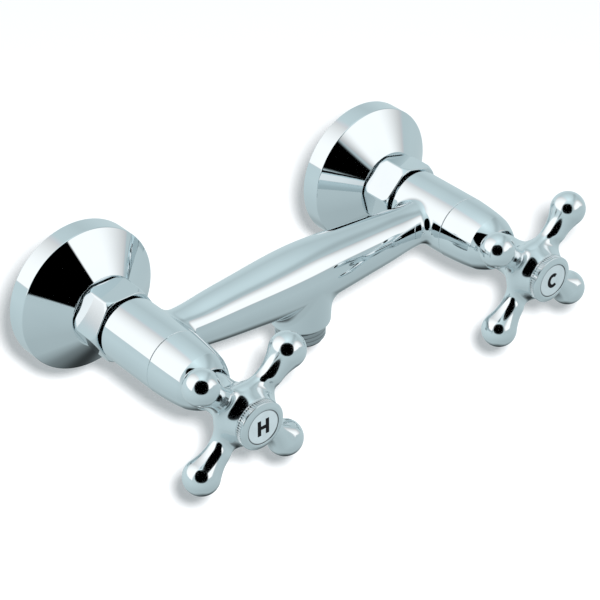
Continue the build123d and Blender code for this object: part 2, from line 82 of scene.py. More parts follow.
HALF_SPACING = (reach("cold_wall_flange", 0, 1) + reach("cold_wall_flange", 0, 0)) / 2
BODY_REAR = out_rear("mixer_body")
BODY_FRONT = out_front("mixer_body")
BARREL_R = reach("mixer_body", 0, 1) - HALF_SPACING
BOSS_DROP = -reach("mixer_body", 2, 0)
HUB_REAR = out_rear("hot_handle")
HUB_FRONT = out_front("hot_handle")
RING_R = half_width("hot_index_ring")

# Sizes of the machined and hidden fittings, in millimetres
WALL_THREAD = 15.0
WALL_THREAD_R = 10.48
INLET_DROP = 7.5
NECK = 9.0
UNION_THREAD_R = 12.0
UNION_THREAD_DEPTH = 0.75
UNION_CORE_R = UNION_THREAD_R - UNION_THREAD_DEPTH
NUT_FACE = 2.3
KNURL_DEPTH = 0.55
KNURL_TOP = HUB_FRONT + 3.0


def length(name, description, default):
    """A length that a user may change, in millimetres."""
    return FloatProperty(name=name, description=description, default=default, min=0.0, precision=3)


def angle(name, description, default):
    """An angle that a user may change, given in degrees."""
    turn = math.radians(default)
    return FloatProperty(name=name, description=description, default=turn, subtype="ANGLE", unit="ROTATION")


def colour(name, description, default):
    """A colour that a user may change."""
    return FloatVectorProperty(
        name=name, description=description, default=default, subtype="COLOR", size=3, min=0.0, max=1.0
    )


def amount(name, description, default):
    """A plain number from 0 up that a user may change."""
    return FloatProperty(name=name, description=description, default=default, min=0.0)


def fraction(name, description, default):
    """A plain number from 0 to 1 that a user may change."""
    return FloatProperty(name=name, description=description, default=default, min=0.0, max=1.0)


class MixerSizes(bpy.types.PropertyGroup):
    """Sizes in millimetres of the plated pieces; their places and main widths come from the frame."""

    flange_rim: length("Flange Rim", "Depth of the straight rim of a wall flange", 8.6)
    flange_mouth: length("Flange Mouth", "Radius of a wall flange where it meets the union", 15.4)
    flange_wall: length("Flange Wall", "Thickness of the sheet of a wall flange", 1.2)
    bar_out: length("Bar Place", "Distance of the cross bar's line from the wall", 50.0)
    bar_middle: length("Bar Middle", "Radius of the cross bar at its middle", 13.5)
    bar_end: length("Bar End", "Radius of the cross bar beside the barrels", 9.15)
    bar_fillet: length("Bar Fillet", "Radius of the hollow between bar and barrel", 4.0)
    boss_foot: length("Boss Foot", "Radius of the outlet boss at its lower end", 12.48)
    boss_flare: length("Boss Flare", "How much wider the outlet boss is at its top", 0.9)
    boss_fillet: length("Boss Fillet", "Radius of the hollow between bar and outlet boss", 6.0)
    boss_edge: length("Boss Edge", "Rounding of the outlet boss's lower edge", 1.8)
    arm: length("Arm", "Radius of a handle arm at its waist", 4.8)
    ball: length("Ball", "Radius of the ball at the end of a handle arm", 7.2)
    ball_place: length("Ball Place", "Distance of a ball's centre from the valve's line", 28.0)
    ball_neck: length("Ball Neck", "Distance from a ball's centre at which the arm leaves the ball", 2.8)
    arm_bend: length("Arm Bend", "Radius of the bend from one handle arm into the next", 17.3)
    arm_out: length("Arm Place", "Distance of the arms' middle plane from the wall", 107.2)
    hub_blend: length("Hub Blend", "Softness of the join between hub and arms", 4.0)
    hub_skirt: length("Hub Skirt", "Radius of the hub's skirt in the arms' plane", 12.75)
    arm_slim: amount("Arm Slim", "How much flatter the front of an arm is beside the hub", 0.6)
    thread_pitch: length("Thread Pitch", "Pitch of the half-inch pipe threads", 1.814)
    thread_depth: length("Thread Depth", "Depth of the half-inch pipe threads", 0.85)
    knurl_ribs: IntProperty(
        name="Knurl Ribs", description="Ribs round an index ring", default=60, min=12, max=180
    )
    knurl_rib: length("Knurl Rib", "Radius of one rib of the knurl", 0.28)
    letter: length("Letter", "Height of the index letters", 6.6)
    stroke: length("Stroke", "Width of the strokes of the index letters", 1.55)
    hot_turn: angle("Hot Handle", "Turn of the hot handle at rest, from +X towards +Z", 43.0)
    cold_turn: angle("Cold Handle", "Turn of the cold handle at rest, from +X towards +Z", 50.4)
    hot_nut: angle("Hot Nut", "Turn of the hot union nut, from +X towards +Z", 0.0)
    cold_nut: angle("Cold Nut", "Turn of the cold union nut, from +X towards +Z", -15.0)


class MixerFinish(bpy.types.PropertyGroup):
    """Colours and polish of the materials."""

    plate: colour("Plate", "Colour of the chromium plate", (0.78, 0.83, 0.85))
    haze: colour("Haze", "Colour of the plate where it is least bright", (0.73, 0.785, 0.81))
    polish: fraction("Polish", "Roughness of clean plate", 0.025)
    brass: colour("Brass", "Colour of bare brass", (0.72, 0.53, 0.26))
    steel: colour("Steel", "Colour of stainless steel", (0.60, 0.61, 0.62))
    enamel: colour("Index Enamel", "Colour of the index discs", (0.525, 0.605, 0.635))
    ink: colour("Index Ink", "Colour of the index letters", (0.006, 0.006, 0.007))
    rubber: colour("Rubber", "Colour of the seals", (0.02, 0.02, 0.022))
    fibre: colour("Fibre", "Colour of the bonnet gaskets", (0.30, 0.075, 0.045))
    ceramic: colour("Ceramic", "Colour of the valve discs", (0.82, 0.82, 0.79))
    nylon: colour("Nylon", "Colour of the friction washers", (0.76, 0.75, 0.69))


class MixerStudio(bpy.types.PropertyGroup):
    """The camera, the light tent and the floor."""

    focal_length: FloatProperty(
        name="Focal Length", description="Lens of the camera on a 36 mm sensor", default=123.02, unit="CAMERA"
    )
    tent: colour("Tent", "Colour of the light tent round the mixer", (0.55, 0.655, 0.68))
    softbox: amount("Softbox", "Level of the two softboxes behind the tent", 1.22)
    lamp: amount("Lamp", "Strength of the soft lamp beside the camera", 3.8)
    lamp_size: length("Lamp Size", "Radius of the lamp, which softens the shadow", 18.0)
    lamp_side: length("Lamp Side", "How far the lamp stands to the right of the camera, and above it", 24.0)
    fill: fraction("Fill", "Share of the tent's light that falls on surfaces that aren't mirrors", 0.55)
    floor: colour("Floor", "Colour of the floor", (0.98, 0.97, 0.98))
    floor_drop: length("Floor Drop", "Height of the valves' lines over the floor", 110.0)


def sizes():
    """The sizes set in the scene."""
    return bpy.context.scene.mixer_sizes


def finishes():
    """The finishes set in the scene."""
    return bpy.context.scene.mixer_finish


def studio():
    """The studio settings of the scene."""
    return bpy.context.scene.mixer_studio


# Outlines and turned shapes


class Outline:
    """An outline of (radius, out) points with the true normal at both ends of every step."""

    def __init__(self, radius, out):
        self.points = [(radius, out)]
        self.normals = []

    def line(self, radius, out):
        """Goes straight to a point."""
        start = self.points[-1]
        run = (radius - start[0], out - start[1])
        size = math.hypot(*run)
        if size > TINY:
            normal = (run[1] / size, -run[0] / size)
            self.points.append((radius, out))
            self.normals.append((normal, normal))
        return self

    def lines(self, *points):
        """Goes straight from point to point."""
        for point in points:
            self.line(*point)
        return self

    def curve(self, first, second, end, count=12):
        """Goes along a cubic curve with two handles."""
        corners = [np.array(p, float) for p in (self.points[-1], first, second, end)]
        before = None
        for step in range(count + 1):
            t = step / count
            place = (1 - t) ** 3 * corners[0] + 3 * t * (1 - t) ** 2 * corners[1]
            place = place + 3 * t * t * (1 - t) * corners[2] + t**3 * corners[3]
            run = (1 - t) ** 2 * (corners[1] - corners[0]) + 2 * t * (1 - t) * (corners[2] - corners[1])
            run = run + t * t * (corners[3] - corners[2])
            run = run / np.linalg.norm(run)
            normal = (run[1], -run[0])
            if step:
                self.points.append((place[0], place[1]))
                self.normals.append((before, normal))
            before = normal
        return self

    def corner(self, radius, out, after_radius, after_out, rounding, count=5, fullness=0.6):
        """Goes straight towards a corner and round it, ready to go on to the next point."""
        start = np.array(self.points[-1])
        tip = np.array((radius, out))
        after = np.array((after_radius, after_out))
        back = (start - tip) / np.linalg.norm(start - tip)
        ahead = (after - tip) / np.linalg.norm(after - tip)
        half = math.acos(max(-1.0, min(1.0, float(back @ ahead)))) / 2
        away = rounding / math.tan(half)
        enter = tip + back * away
        leave = tip + ahead * away
        self.line(*enter)
        return self.curve(enter - back * away * fullness, leave - ahead * away * fullness, leave, count)


def polygon(*corners):
    """A closed outline through corners given as (radius, out, rounding)."""
    last = corners[-1]
    first = corners[0]
    outline = Outline((last[0] + first[0]) / 2, (last[1] + first[1]) / 2)
    total = len(corners)
    for index, (radius, out, rounding) in enumerate(corners):
        after = corners[(index + 1) % total]
        if rounding:
            outline.corner(radius, out, after[0], after[1], rounding)
        else:
            outline.line(radius, out)
    return outline.line(*outline.points[0])


def put(name, data):
    """Puts a mesh, a lamp or a camera in the scene as an object."""
    item = bpy.data.objects.new(name, data)
    bpy.context.scene.collection.objects.link(item)
    return item


def to_piece(name, verts, faces, normals, material):
    """A mesh object, in metres, with a true normal at every corner and one material."""
    mesh = bpy.data.meshes.new(name)
    mesh.from_pydata((np.asarray(verts) * MM).tolist(), [], faces)
    mesh.materials.append(material)
    mesh.polygons.foreach_set("use_smooth", [True] * len(mesh.polygons))
    mesh.normals_split_custom_set(np.asarray(normals).tolist())
    mesh.update()
    return put(name, mesh)


def lathe(name, outline, x, material, segments):
    """A piece turned about the valve's line at x from a closed outline."""
    axis = Vector((0.0, -1.0, 0.0))
    side = axis.orthogonal().normalized()
    up = axis.cross(side)
    along_axis = np.array(axis, float)
    centre = np.array((x, 0, 0), float)
    turns = np.arange(segments) * 2 * math.pi / segments
    spokes = np.outer(np.cos(turns), side) + np.outer(np.sin(turns), up)
    verts = []
    rings = []
    for radius, out in outline.points[:-1]:
        if radius < TINY:
            rings.append([len(verts)] * segments)
            verts.append(centre + along_axis * out)
        else:
            rings.append(list(range(len(verts), len(verts) + segments)))
            verts.extend(centre + along_axis * out + spokes * radius)
    faces = []
    normals = []
    for step, (first, second) in enumerate(outline.normals):
        near = rings[step]
        far = rings[(step + 1) % len(rings)]
        near_normals = spokes * first[0] + along_axis * first[1]
        far_normals = spokes * second[0] + along_axis * second[1]
        for i in range(segments):
            j = (i + 1) % segments
            face = [near[i], near[j], far[j], far[i]]
            turned = [near_normals[i], near_normals[j], far_normals[j], far_normals[i]]
            if near[i] == near[j]:
                if far[i] == far[j]:
                    continue
                del face[1], turned[1]
            elif far[i] == far[j]:
                del face[3], turned[3]
            faces.append(face)
            normals.extend(turned)
    return to_piece(name, verts, faces, normals, material)


# Cast and machined shapes, drawn as the zero surface of a field


def spaced(low, high, step, fine=()):
    """Places along an axis at a step, with finer stretches given as (low, high, step)."""
    places = list(np.arange(low, high + step, step))
    for start, stop, fine_step in fine:
        places = [p for p in places if p < start - fine_step / 2 or p > stop + fine_step / 2]
        places.extend(np.arange(start, stop + fine_step / 2, fine_step))
    return np.array(sorted(places))


def slopes(field, places, step=0.01):
    """The gradient of a field at many places."""
    parts = []
    for axis in range(3):
        move = np.zeros(3)
        move[axis] = step
        parts.append((field(*(places + move).T) - field(*(places - move).T)) / (2 * step))
    return np.stack(parts, axis=1)


def unit(vectors):
    """Vectors made one long."""
    return vectors / np.maximum(np.linalg.norm(vectors, axis=1), 1e-9)[:, None]


def skin(name, field, axes, material, draws=8, inward=0.3, smooth=0.9):
    """The zero surface of a field that is negative inside, as quads drawn onto the surface.
    Across an edge, each face takes the normals that are read inward from its own corners."""
    grid = field(*np.meshgrid(*axes, indexing="ij"))
    inside = grid < 0
    cells = tuple(n - 1 for n in grid.shape)
    total = np.zeros((*cells, 3))
    count = np.zeros(cells)
    crossings = []
    for axis in range(3):
        low = tuple(slice(None, -1) if i == axis else slice(None) for i in range(3))
        high = tuple(slice(1, None) if i == axis else slice(None) for i in range(3))
        crossed = inside[low] != inside[high]
        gap = np.where(crossed, grid[low] - grid[high], 1.0)
        share = np.where(crossed, grid[low] / gap, 0.0)
        crossings.append((axis, crossed, inside[low]))
        one, two = (axis + 1) % 3, (axis + 2) % 3
        for a in (0, 1):
            for b in (0, 1):
                part = [slice(None)] * 3
                part[one] = slice(a, a + cells[one])
                part[two] = slice(b, b + cells[two])
                hit = crossed[tuple(part)]
                count += hit
                total[..., axis] += share[tuple(part)]
                total[..., one] += a * hit
                total[..., two] += b * hit
    used = count > 0
    number = np.full(cells, -1)
    number[used] = np.arange(used.sum())
    index = np.argwhere(used) + total[used] / count[used][:, None]
    places = np.stack([np.interp(index[:, i], np.arange(len(axes[i])), axes[i]) for i in range(3)], axis=1)
    quads = []
    for axis, crossed, start_inside in crossings:
        one, two = (axis + 1) % 3, (axis + 2) % 3
        inner = [slice(None)] * 3
        inner[one] = slice(1, -1)
        inner[two] = slice(1, -1)
        where = np.argwhere(crossed[tuple(inner)])
        where[:, one] += 1
        where[:, two] += 1
        corners = []
        for a, b in ((1, 1), (0, 1), (0, 0), (1, 0)):
            cell = where.copy()
            cell[:, one] -= a
            cell[:, two] -= b
            corners.append(number[tuple(cell.T)])
        quad = np.stack(corners, axis=1)
        turned = ~start_inside[tuple(where.T)]
        quad[turned] = quad[turned][:, ::-1]
        quads.append(quad)
    quads = np.concatenate(quads)
    step = min(np.diff(a).max() for a in axes) / 2
    for _ in range(draws):
        slope = slopes(field, places)
        move = -slope * (field(*places.T) / np.maximum((slope**2).sum(1), 1e-6))[:, None]
        size = np.linalg.norm(move, axis=1)
        places = places + move * np.minimum(1.0, step / np.maximum(size, 1e-9))[:, None]
    at_vertex = unit(slopes(field, places))[quads]
    middle = places[quads].mean(axis=1, keepdims=True)
    nearby = places[quads] + (middle - places[quads]) * inward
    at_face = unit(slopes(field, nearby.reshape(-1, 3))).reshape(-1, 4, 3)
    same = (at_vertex * at_face).sum(-1, keepdims=True) > smooth
    normals = np.where(same, at_vertex, at_face).reshape(-1, 3)
    return to_piece(name, places, quads.tolist(), normals, material)


def rounded_cut(a, b, radius):
    """What two solids have in common, with the edge between them rounded."""
    inner = np.minimum(-radius, np.maximum(a, b))
    return inner + np.hypot(np.maximum(radius + a, 0), np.maximum(radius + b, 0))


def rolled_join(a, b, likeness, radius, least=-0.97, most=0.999):
    """Two solids joined with the hollow that a rolling ball would leave.
    Likeness is the product of their unit normals, kept off the ends of its range."""
    c = np.clip(likeness, least, most)
    u = radius - a
    v = radius - b
    corner = np.sqrt(np.maximum(u * u + v * v - 2 * c * u * v, 0) / (1 - c * c))
    hollow = radius - corner
    hollow = np.where((u <= c * v) | (v <= c * u), np.minimum(a, b), hollow)
    return np.where((u <= 0) & (v <= 0), np.minimum(a, b), hollow)


def soft_join(a, b, softness):
    """Two solids joined with a soft seam."""
    near = np.maximum(softness - np.abs(a - b), 0) / softness
    return np.minimum(a, b) - near * near * softness / 4


def joined(*solids):
    """Solids joined with sharp seams."""
    return functools.reduce(np.minimum, solids)


def between(place, low, high):
    """Distance from a slab."""
    return np.maximum(low - place, place - high)


def smooth_profile(knots, values, start_slope, end_slope, fineness=1600):
    """A table of the smooth curve through given points with given end slopes."""
    gaps = np.diff(knots)
    rises = np.diff(values) / gaps
    total = len(knots)
    matrix = np.zeros((total, total))
    right = np.zeros(total)
    matrix[0, 0] = matrix[-1, -1] = 1.0
    right[0], right[-1] = start_slope, end_slope
    for i in range(1, total - 1):
        matrix[i, i - 1] = gaps[i]
        matrix[i, i] = 2 * (gaps[i - 1] + gaps[i])
        matrix[i, i + 1] = gaps[i - 1]
        right[i] = 3 * (gaps[i] * rises[i - 1] + gaps[i - 1] * rises[i])
    slope = np.linalg.solve(matrix, right)
    places = np.linspace(knots[0], knots[-1], fineness)
    index = np.clip(np.searchsorted(knots, places, side="right") - 1, 0, total - 2)
    gap = gaps[index]
    t = (places - np.array(knots)[index]) / gap
    low, high = np.array(values)[index], np.array(values)[index + 1]
    curve = low * (1 + 2 * t) * (1 - t) ** 2 + high * t * t * (3 - 2 * t)
    curve += gap * (slope[index] * t * (1 - t) ** 2 - slope[index + 1] * t * t * (1 - t))
    return places, curve


def body_field():
    """The cast body: two barrels, the swelling bar and the outlet boss, with its chambers."""
    s = sizes()
    swell = s.bar_middle - s.bar_end
    shoulder_share, neck_share, neck_length, end_overlap = 0.575, 0.264, 14.0, 15.0
    bar_stop = HALF_SPACING - end_overlap
    table = smooth_profile(
        (0.0, bar_stop / 2, bar_stop - neck_length, bar_stop),
        (s.bar_middle, s.bar_end + swell * shoulder_share, s.bar_end + swell * neck_share, s.bar_end),
        0.0,
        0.0,
    )
    rear_rounding, front_rounding = 0.6, 0.25
    tail_r, tail_stop = 8.55, 42.5
    seat_r, seat_stop = 6.0, 45.0
    chamber_r, chamber_rear = 10.4, 44.0
    mouth_r, mouth_depth = 12.18, 0.7
    waterway_r, waterway_rest = 5.5, 5.0
    socket_r, socket_top = 9.05, -12.5

    def field(x, y, z):
        away = np.abs(x)
        out = -y
        ahead = y + s.bar_out
        round_bar = np.hypot(ahead, z)
        bar = np.maximum(round_bar - np.interp(away, *table), away - HALF_SPACING)
        round_barrel = np.hypot(away - HALF_SPACING, z)
        barrel = rounded_cut(round_barrel - BARREL_R, BODY_REAR - out, rear_rounding)
        barrel = rounded_cut(barrel, out - BODY_FRONT, front_rounding)
        likeness = z * z / np.maximum(round_bar * round_barrel, TINY)
        wings = rolled_join(bar, barrel, likeness, s.bar_fillet)
        round_boss = np.hypot(x, ahead)
        boss = round_boss - (s.boss_foot + s.boss_flare * (1 + z / BOSS_DROP))
        boss = np.maximum(rounded_cut(boss, -BOSS_DROP - z, s.boss_edge), z)
        likeness = ahead * ahead / np.maximum(round_bar * round_boss, TINY)
        shell = np.minimum(wings, rolled_join(bar, boss, likeness, s.boss_fillet))
        hollow = joined(
            np.maximum(round_barrel - tail_r, out - tail_stop),
            np.maximum(round_barrel - seat_r, out - seat_stop),
            np.maximum(round_barrel - chamber_r, chamber_rear - out),
            np.maximum(round_barrel - mouth_r, BODY_FRONT - mouth_depth - out),
            np.maximum(round_bar - waterway_r, away - HALF_SPACING + waterway_rest),
            np.maximum(round_boss - waterway_r, z),
            np.maximum(round_boss - socket_r, z - socket_top),
        )
        return np.maximum(shell, -hollow)

    return field


def handle_field(middle, turn):
    """A cast cross handle: flared hub, round-edged webs, waisted arms and ball ends."""
    s = sizes()
    lead = s.ball_neck
    rise = math.sqrt(s.ball**2 - lead**2)
    meet = s.ball_place - lead
    arms = smooth_profile((s.arm_bend, meet), (s.arm, rise), 0.0, lead / rise)
    shaft_r, shaft_length, flare_stop, flare_slope = 7.5, 6.2, 15.2, 0.4
    flare_ends = (HUB_REAR + shaft_length, HUB_REAR + flare_stop)
    flare = smooth_profile(flare_ends, (shaft_r, RING_R), 0.0, flare_slope)
    slope = (s.hub_skirt - RING_R) / (HUB_FRONT - s.arm_out)
    skirt_rounding, hub_margin = 2.0, 3.0
    slim_place, slim_width = 12.5, 2.5
    recess_r, recess_depth = 7.4, 7.6
    screw_r, screw_depth = 2.8, 9.9
    spline_r, spline_depth = 4.05, 9.8
    cos, sin = math.cos(turn), math.sin(turn)

    def field(x, y, z):
        out = -y
        u = np.abs((x - middle) * cos + z * sin)
        v = np.abs(z * cos - (x - middle) * sin)
        far = np.maximum(u, v)
        side = np.minimum(u, v)
        around = np.hypot(u, v)
        w = out - s.arm_out
        w = np.where(w > 0, w * (1 + s.arm_slim * np.exp(-(((far - slim_place) / slim_width) ** 2))), w)
        web = np.maximum(s.arm_bend - np.hypot(s.arm_bend - far, s.arm_bend - side), 0)
        aside = np.where(far <= s.arm_bend, web, side)
        arm = np.hypot(aside, w) - np.interp(far, *arms)
        ball = np.sqrt((far - s.ball_place) ** 2 + side**2 + w**2) - s.ball
        arm = np.where(far <= meet, arm, ball)
        hub_slab = between(out, HUB_REAR, HUB_FRONT)
        shaft = np.maximum(around - np.interp(out, *flare), hub_slab)
        front_cone = (around - RING_R - (HUB_FRONT - out) * slope) / math.hypot(1, slope)
        rear_cone = (around - s.hub_skirt + s.arm_out - out) / math.sqrt(2)
        skirt = np.maximum(rounded_cut(front_cone, rear_cone, skirt_rounding), out - HUB_FRONT)
        shell = soft_join(arm, np.minimum(shaft, skirt), s.hub_blend)
        shell = np.maximum(shell, np.where(around < RING_R + hub_margin, hub_slab, -1.0))
        hollow = joined(
            np.maximum(around - recess_r, HUB_FRONT - recess_depth - out),
            np.maximum(around - screw_r, HUB_FRONT - screw_depth - out),
            np.maximum(around - spline_r, out - HUB_FRONT + spline_depth),
        )
        return np.maximum(shell, -hollow)

    return field


def nut_field(middle, turn, rear, front):
    """A hexagon nut with chamfered ends and softened edges."""
    flat_r = 14.0
    end_r = flat_r + 0.9
    corner_r = flat_r / math.cos(math.pi / 6)
    chamfer = 2.6
    slant = math.hypot(chamfer, corner_r - end_r)
    side_rounding, end_rounding = 0.45, 0.35
    thread_r = UNION_THREAD_R + 0.05
    hole_r = 9.55

    def field(x, y, z):
        out = -y
        around = np.hypot(x - middle, z)
        shell = np.full_like(around, -HALF_SPACING)
        for flat in range(6):
            bearing = turn + math.pi * (flat / 3 + 1 / 6)
            side = (x - middle) * math.cos(bearing) + z * math.sin(bearing) - flat_r
            shell = rounded_cut(shell, side, side_rounding)
        for depth in (out - rear, front - out):
            cone = ((around - end_r) * chamfer - depth * (corner_r - end_r)) / slant
            shell = rounded_cut(shell, cone, end_rounding)
            shell = rounded_cut(shell, -depth, end_rounding)
        hollow = joined(np.maximum(around - thread_r, out - (front - NUT_FACE)), around - hole_r)
        return np.maximum(shell, -hollow)

    return field


def union_field(middle, front):
    """The offset connector without its threads: wall end, slanting neck, union end."""
    root = WALL_THREAD_R - sizes().thread_depth
    end_rounding = 0.8
    neck_r = 11.4
    overlap = 0.5
    bore_r, narrowing = 7.0, 0.8

    def field(x, y, z):
        out = -y
        share = np.clip(out / NECK, 0, 1)
        low = np.hypot(x - middle, z + INLET_DROP)
        slanted = np.hypot(x - middle, z - (share * INLET_DROP - INLET_DROP))
        high = np.hypot(x - middle, z)
        wall_end = np.maximum(rounded_cut(low - root, -out - WALL_THREAD, end_rounding), out)
        neck = np.maximum(slanted - neck_r, between(out, 0.0, NECK))
        union_end = np.maximum(high - UNION_CORE_R, between(out, NECK - overlap, front))
        return np.maximum(joined(wall_end, neck, union_end), bore_r - narrowing * share - slanted)

    return field


def nipple_field():
    """The outlet nipple without its thread: shank, threaded core, hexagon key socket and bore."""
    s = sizes()
    seal_foot = reach("outlet_seal", 2, 0)
    foot = reach("outlet_nipple", 2, 0)
    top = reach("outlet_nipple", 2, 1)
    root = half_width("outlet_nipple") - s.thread_depth
    foot_rounding = 0.5
    collar_share, collar_height = 0.8, 0.9
    shank_r, overlap = 9.0, 1
    key_r, key_depth = 6.0, 4.5
    bore_r = 5.6

    def field(x, y, z):
        around = np.hypot(x, y + s.bar_out)
        core = rounded_cut(around - root, foot - z, foot_rounding)
        core = np.maximum(core, z - seal_foot)
        collar = around - root - s.thread_depth * collar_share
        collar = np.maximum(collar, between(z, seal_foot - collar_height, seal_foot))
        shank = np.maximum(around - shank_r, between(z, seal_foot - overlap, top))
        key = z - foot - key_depth
        for flat in range(3):
            bearing = math.pi * (flat / 3 + 1 / 6)
            side = np.abs(x * math.cos(bearing) + (y + s.bar_out) * math.sin(bearing)) - key_r
            key = np.maximum(key, side)
        return np.maximum(joined(core, shank, collar), -np.minimum(key, around - bore_r))

    return field


# Node trees


class Wire:
    """A socket that can be used in sums."""

    def __init__(self, nodes, socket):
        self.nodes = nodes
        self.socket = socket

    def __add__(self, other):
        return self.nodes.math("ADD", self, other)

    __radd__ = __add__

    def __sub__(self, other):
        return self.nodes.math("SUBTRACT", self, other)

    def __rsub__(self, other):
        return self.nodes.math("SUBTRACT", other, self)

    def __mul__(self, other):
        return self.nodes.math("MULTIPLY", self, other)

    __rmul__ = __mul__

    def __truediv__(self, other):
        return self.nodes.math("DIVIDE", self, other)

    def __rtruediv__(self, other):
        return self.nodes.math("DIVIDE", other, self)

    def __pow__(self, other):
        return self.nodes.math("POWER", self, other)


class Nodes:
    """Adds nodes to a tree."""

    def __init__(self, tree):
        self.tree = tree

    def node(self, kind, settings=None, inputs=None, output=0):
        """Adds a node with its settings and its sockets' values or wires, and returns one of its outputs."""
        node = self.tree.nodes.new(kind)
        for key, value in (settings or {}).items():
            if key == "stops":
                ramp = node.color_ramp.elements
                while len(ramp) < len(value):
                    ramp.new(1.0)
                for stop, (place, shade) in zip(ramp, value):
                    stop.position = place
                    stop.color = (*shade, 1.0)
            else:
                setattr(node, key, value)
        for key, value in (inputs or {}).items():
            socket = node.inputs[key]
            if isinstance(value, Wire):
                self.tree.links.new(value.socket, socket)
            elif socket.type == "RGBA":
                socket.default_value = (*value, 1.0)
            else:
                socket.default_value = value
        return Wire(self, node.outputs[output]) if node.outputs else None

    def math(self, operation, first, second=0.0, clamp=False):
        """A Math node on one or two values."""
        return self.node("ShaderNodeMath", {"operation": operation, "use_clamp": clamp}, {0: first, 1: second})


# Geometry Nodes: thread ridges and knurls


class Weave(Nodes):
    """Builds a Geometry Nodes tree with named inputs."""

    def __init__(self, name, **kinds):
        super().__init__(bpy.data.node_groups.new(name, "GeometryNodeTree"))
        face = self.tree.interface
        face.new_socket("Geometry", in_out="OUTPUT", socket_type="NodeSocketGeometry")
        self.keys = {}
        for kind, labels in kinds.items():
            for label in labels:
                socket = face.new_socket(label, in_out="INPUT", socket_type="NodeSocket" + kind)
                self.keys[label] = socket.identifier
        self.source = self.tree.nodes.new("NodeGroupInput")
        self.result = self.tree.nodes.new("NodeGroupOutput")

    def given(self, label):
        """The wire that carries a named input."""
        return Wire(self, self.source.outputs[label])

    def fade(self, steepness):
        """How thick a line is along its length: full in the middle, running out at both ends."""
        share = self.node("GeometryNodeSplineParameter", None, None, "Factor")
        return self.math("MULTIPLY", self.math("PINGPONG", share, 0.5), steepness, clamp=True)

    def sweep(self, line, thickness, section):
        """A section swept along a line whose thickness varies, with closed ends."""
        line = self.node("GeometryNodeSetCurveRadius", None, {"Curve": line, "Radius": thickness})
        inputs = {"Curve": line, "Profile Curve": section, "Fill Caps": True}
        return self.node("GeometryNodeCurveToMesh", None, inputs)

    def finish(self, geometry):
        """Ends the tree in real geometry with the given material."""
        real = self.node("GeometryNodeRealizeInstances", None, {"Geometry": geometry})
        inputs = {"Geometry": real, "Material": self.given("Material")}
        done = self.node("GeometryNodeSetMaterial", None, inputs)
        self.tree.links.new(done.socket, self.result.inputs["Geometry"])
        return self

    def grow(self, name, values, place, sharp_angle=50):
        """Runs the tree on a bare object, and returns its result as a plain mesh object in place."""
        carrier = put(name + "_carrier", bpy.data.meshes.new(name + "_carrier"))
        modifier = carrier.modifiers.new("weave", "NODES")
        modifier.node_group = self.tree
        for label, value in values.items():
            modifier[self.keys[label]] = value
        graph = bpy.context.evaluated_depsgraph_get()
        mesh = bpy.data.meshes.new_from_object(carrier.evaluated_get(graph), depsgraph=graph)
        carrier.modifiers.remove(modifier)
        bpy.data.objects.remove(carrier)
        mesh.name = name
        mesh.transform(place)
        mesh.polygons.foreach_set("use_smooth", [True] * len(mesh.polygons))
        mesh.set_sharp_from_angle(angle=math.radians(sharp_angle))
        return put(name, mesh)


def placed(x, y, z, turn=0.0):
    """A place in millimetres, with a turn about X in radians."""
    return Matrix.Translation(Vector((x, y, z)) * MM) @ Matrix.Rotation(turn, 4, "X")


def thread_tree():
    """A helical ridge round a core, tapering into the core at both ends."""
    weave = Weave("Thread Ridge", Float=("Core Radius", "Depth", "Pitch", "Length"), Material=("Material",))
    core, run, pitch = weave.given("Core Radius"), weave.given("Length"), weave.given("Pitch")
    turns = run / pitch
    inputs = {
        "Resolution": 72,
        "Rotations": turns,
        "Start Radius": core,
        "End Radius": core,
        "Height": run,
        "Reverse": True,
    }
    spiral = weave.node("GeometryNodeCurveSpiral", None, inputs)
    upright = weave.node("GeometryNodeSetCurveNormal", {"mode": "Z_UP"}, {"Curve": spiral})
    fade = weave.math("MULTIPLY", weave.fade(turns), 3.0, clamp=True)
    foot_share, crest_share, edge = 0.99, 0.2, 0.12
    inputs = {
        "Height": weave.given("Depth") * 2.0,
        "Bottom Width": pitch * foot_share,
        "Top Width": pitch * crest_share,
        "Offset": 0.0,
    }
    outline = weave.node("GeometryNodeCurvePrimitiveQuadrilateral", {"mode": "TRAPEZOID"}, inputs)
    inputs = {"Geometry": outline, "Rotation": (0.0, 0.0, math.radians(90))}
    outline = weave.node("GeometryNodeTransform", None, inputs)
    inputs = {"Curve": outline, "Radius": edge * MM, "Count": 2, "Limit Radius": True}
    outline = weave.node("GeometryNodeFilletCurve", {"mode": "POLY"}, inputs)
    return weave.finish(weave.sweep(upright, fade, outline))


def knurl_tree():
    """Thin upright ribs round a ring, each tapering to a point at both ends."""
    labels = ("Ring Radius", "Rib Radius", "Rib Length")
    weave = Weave("Knurl", Int=("Ribs",), Float=labels, Material=("Material",))
    radius, rib_radius, run = (weave.given(label) for label in labels)
    inputs = {"Vertices": weave.given("Ribs"), "Radius": radius}
    ring = weave.node("GeometryNodeMeshCircle", {"fill_type": "NONE"}, inputs)
    top = weave.node("ShaderNodeCombineXYZ", None, {"Z": run})
    line = weave.node("GeometryNodeCurvePrimitiveLine", None, {"End": top})
    line = weave.node("GeometryNodeResampleCurve", {"mode": "COUNT"}, {"Curve": line, "Count": 7})
    section = weave.node("GeometryNodeCurvePrimitiveCircle", None, {"Resolution": 8, "Radius": rib_radius})
    rib = weave.sweep(line, weave.fade(5.0), section)
    return weave.finish(weave.node("GeometryNodeInstanceOnPoints", None, {"Points": ring, "Instance": rib}))


# Materials


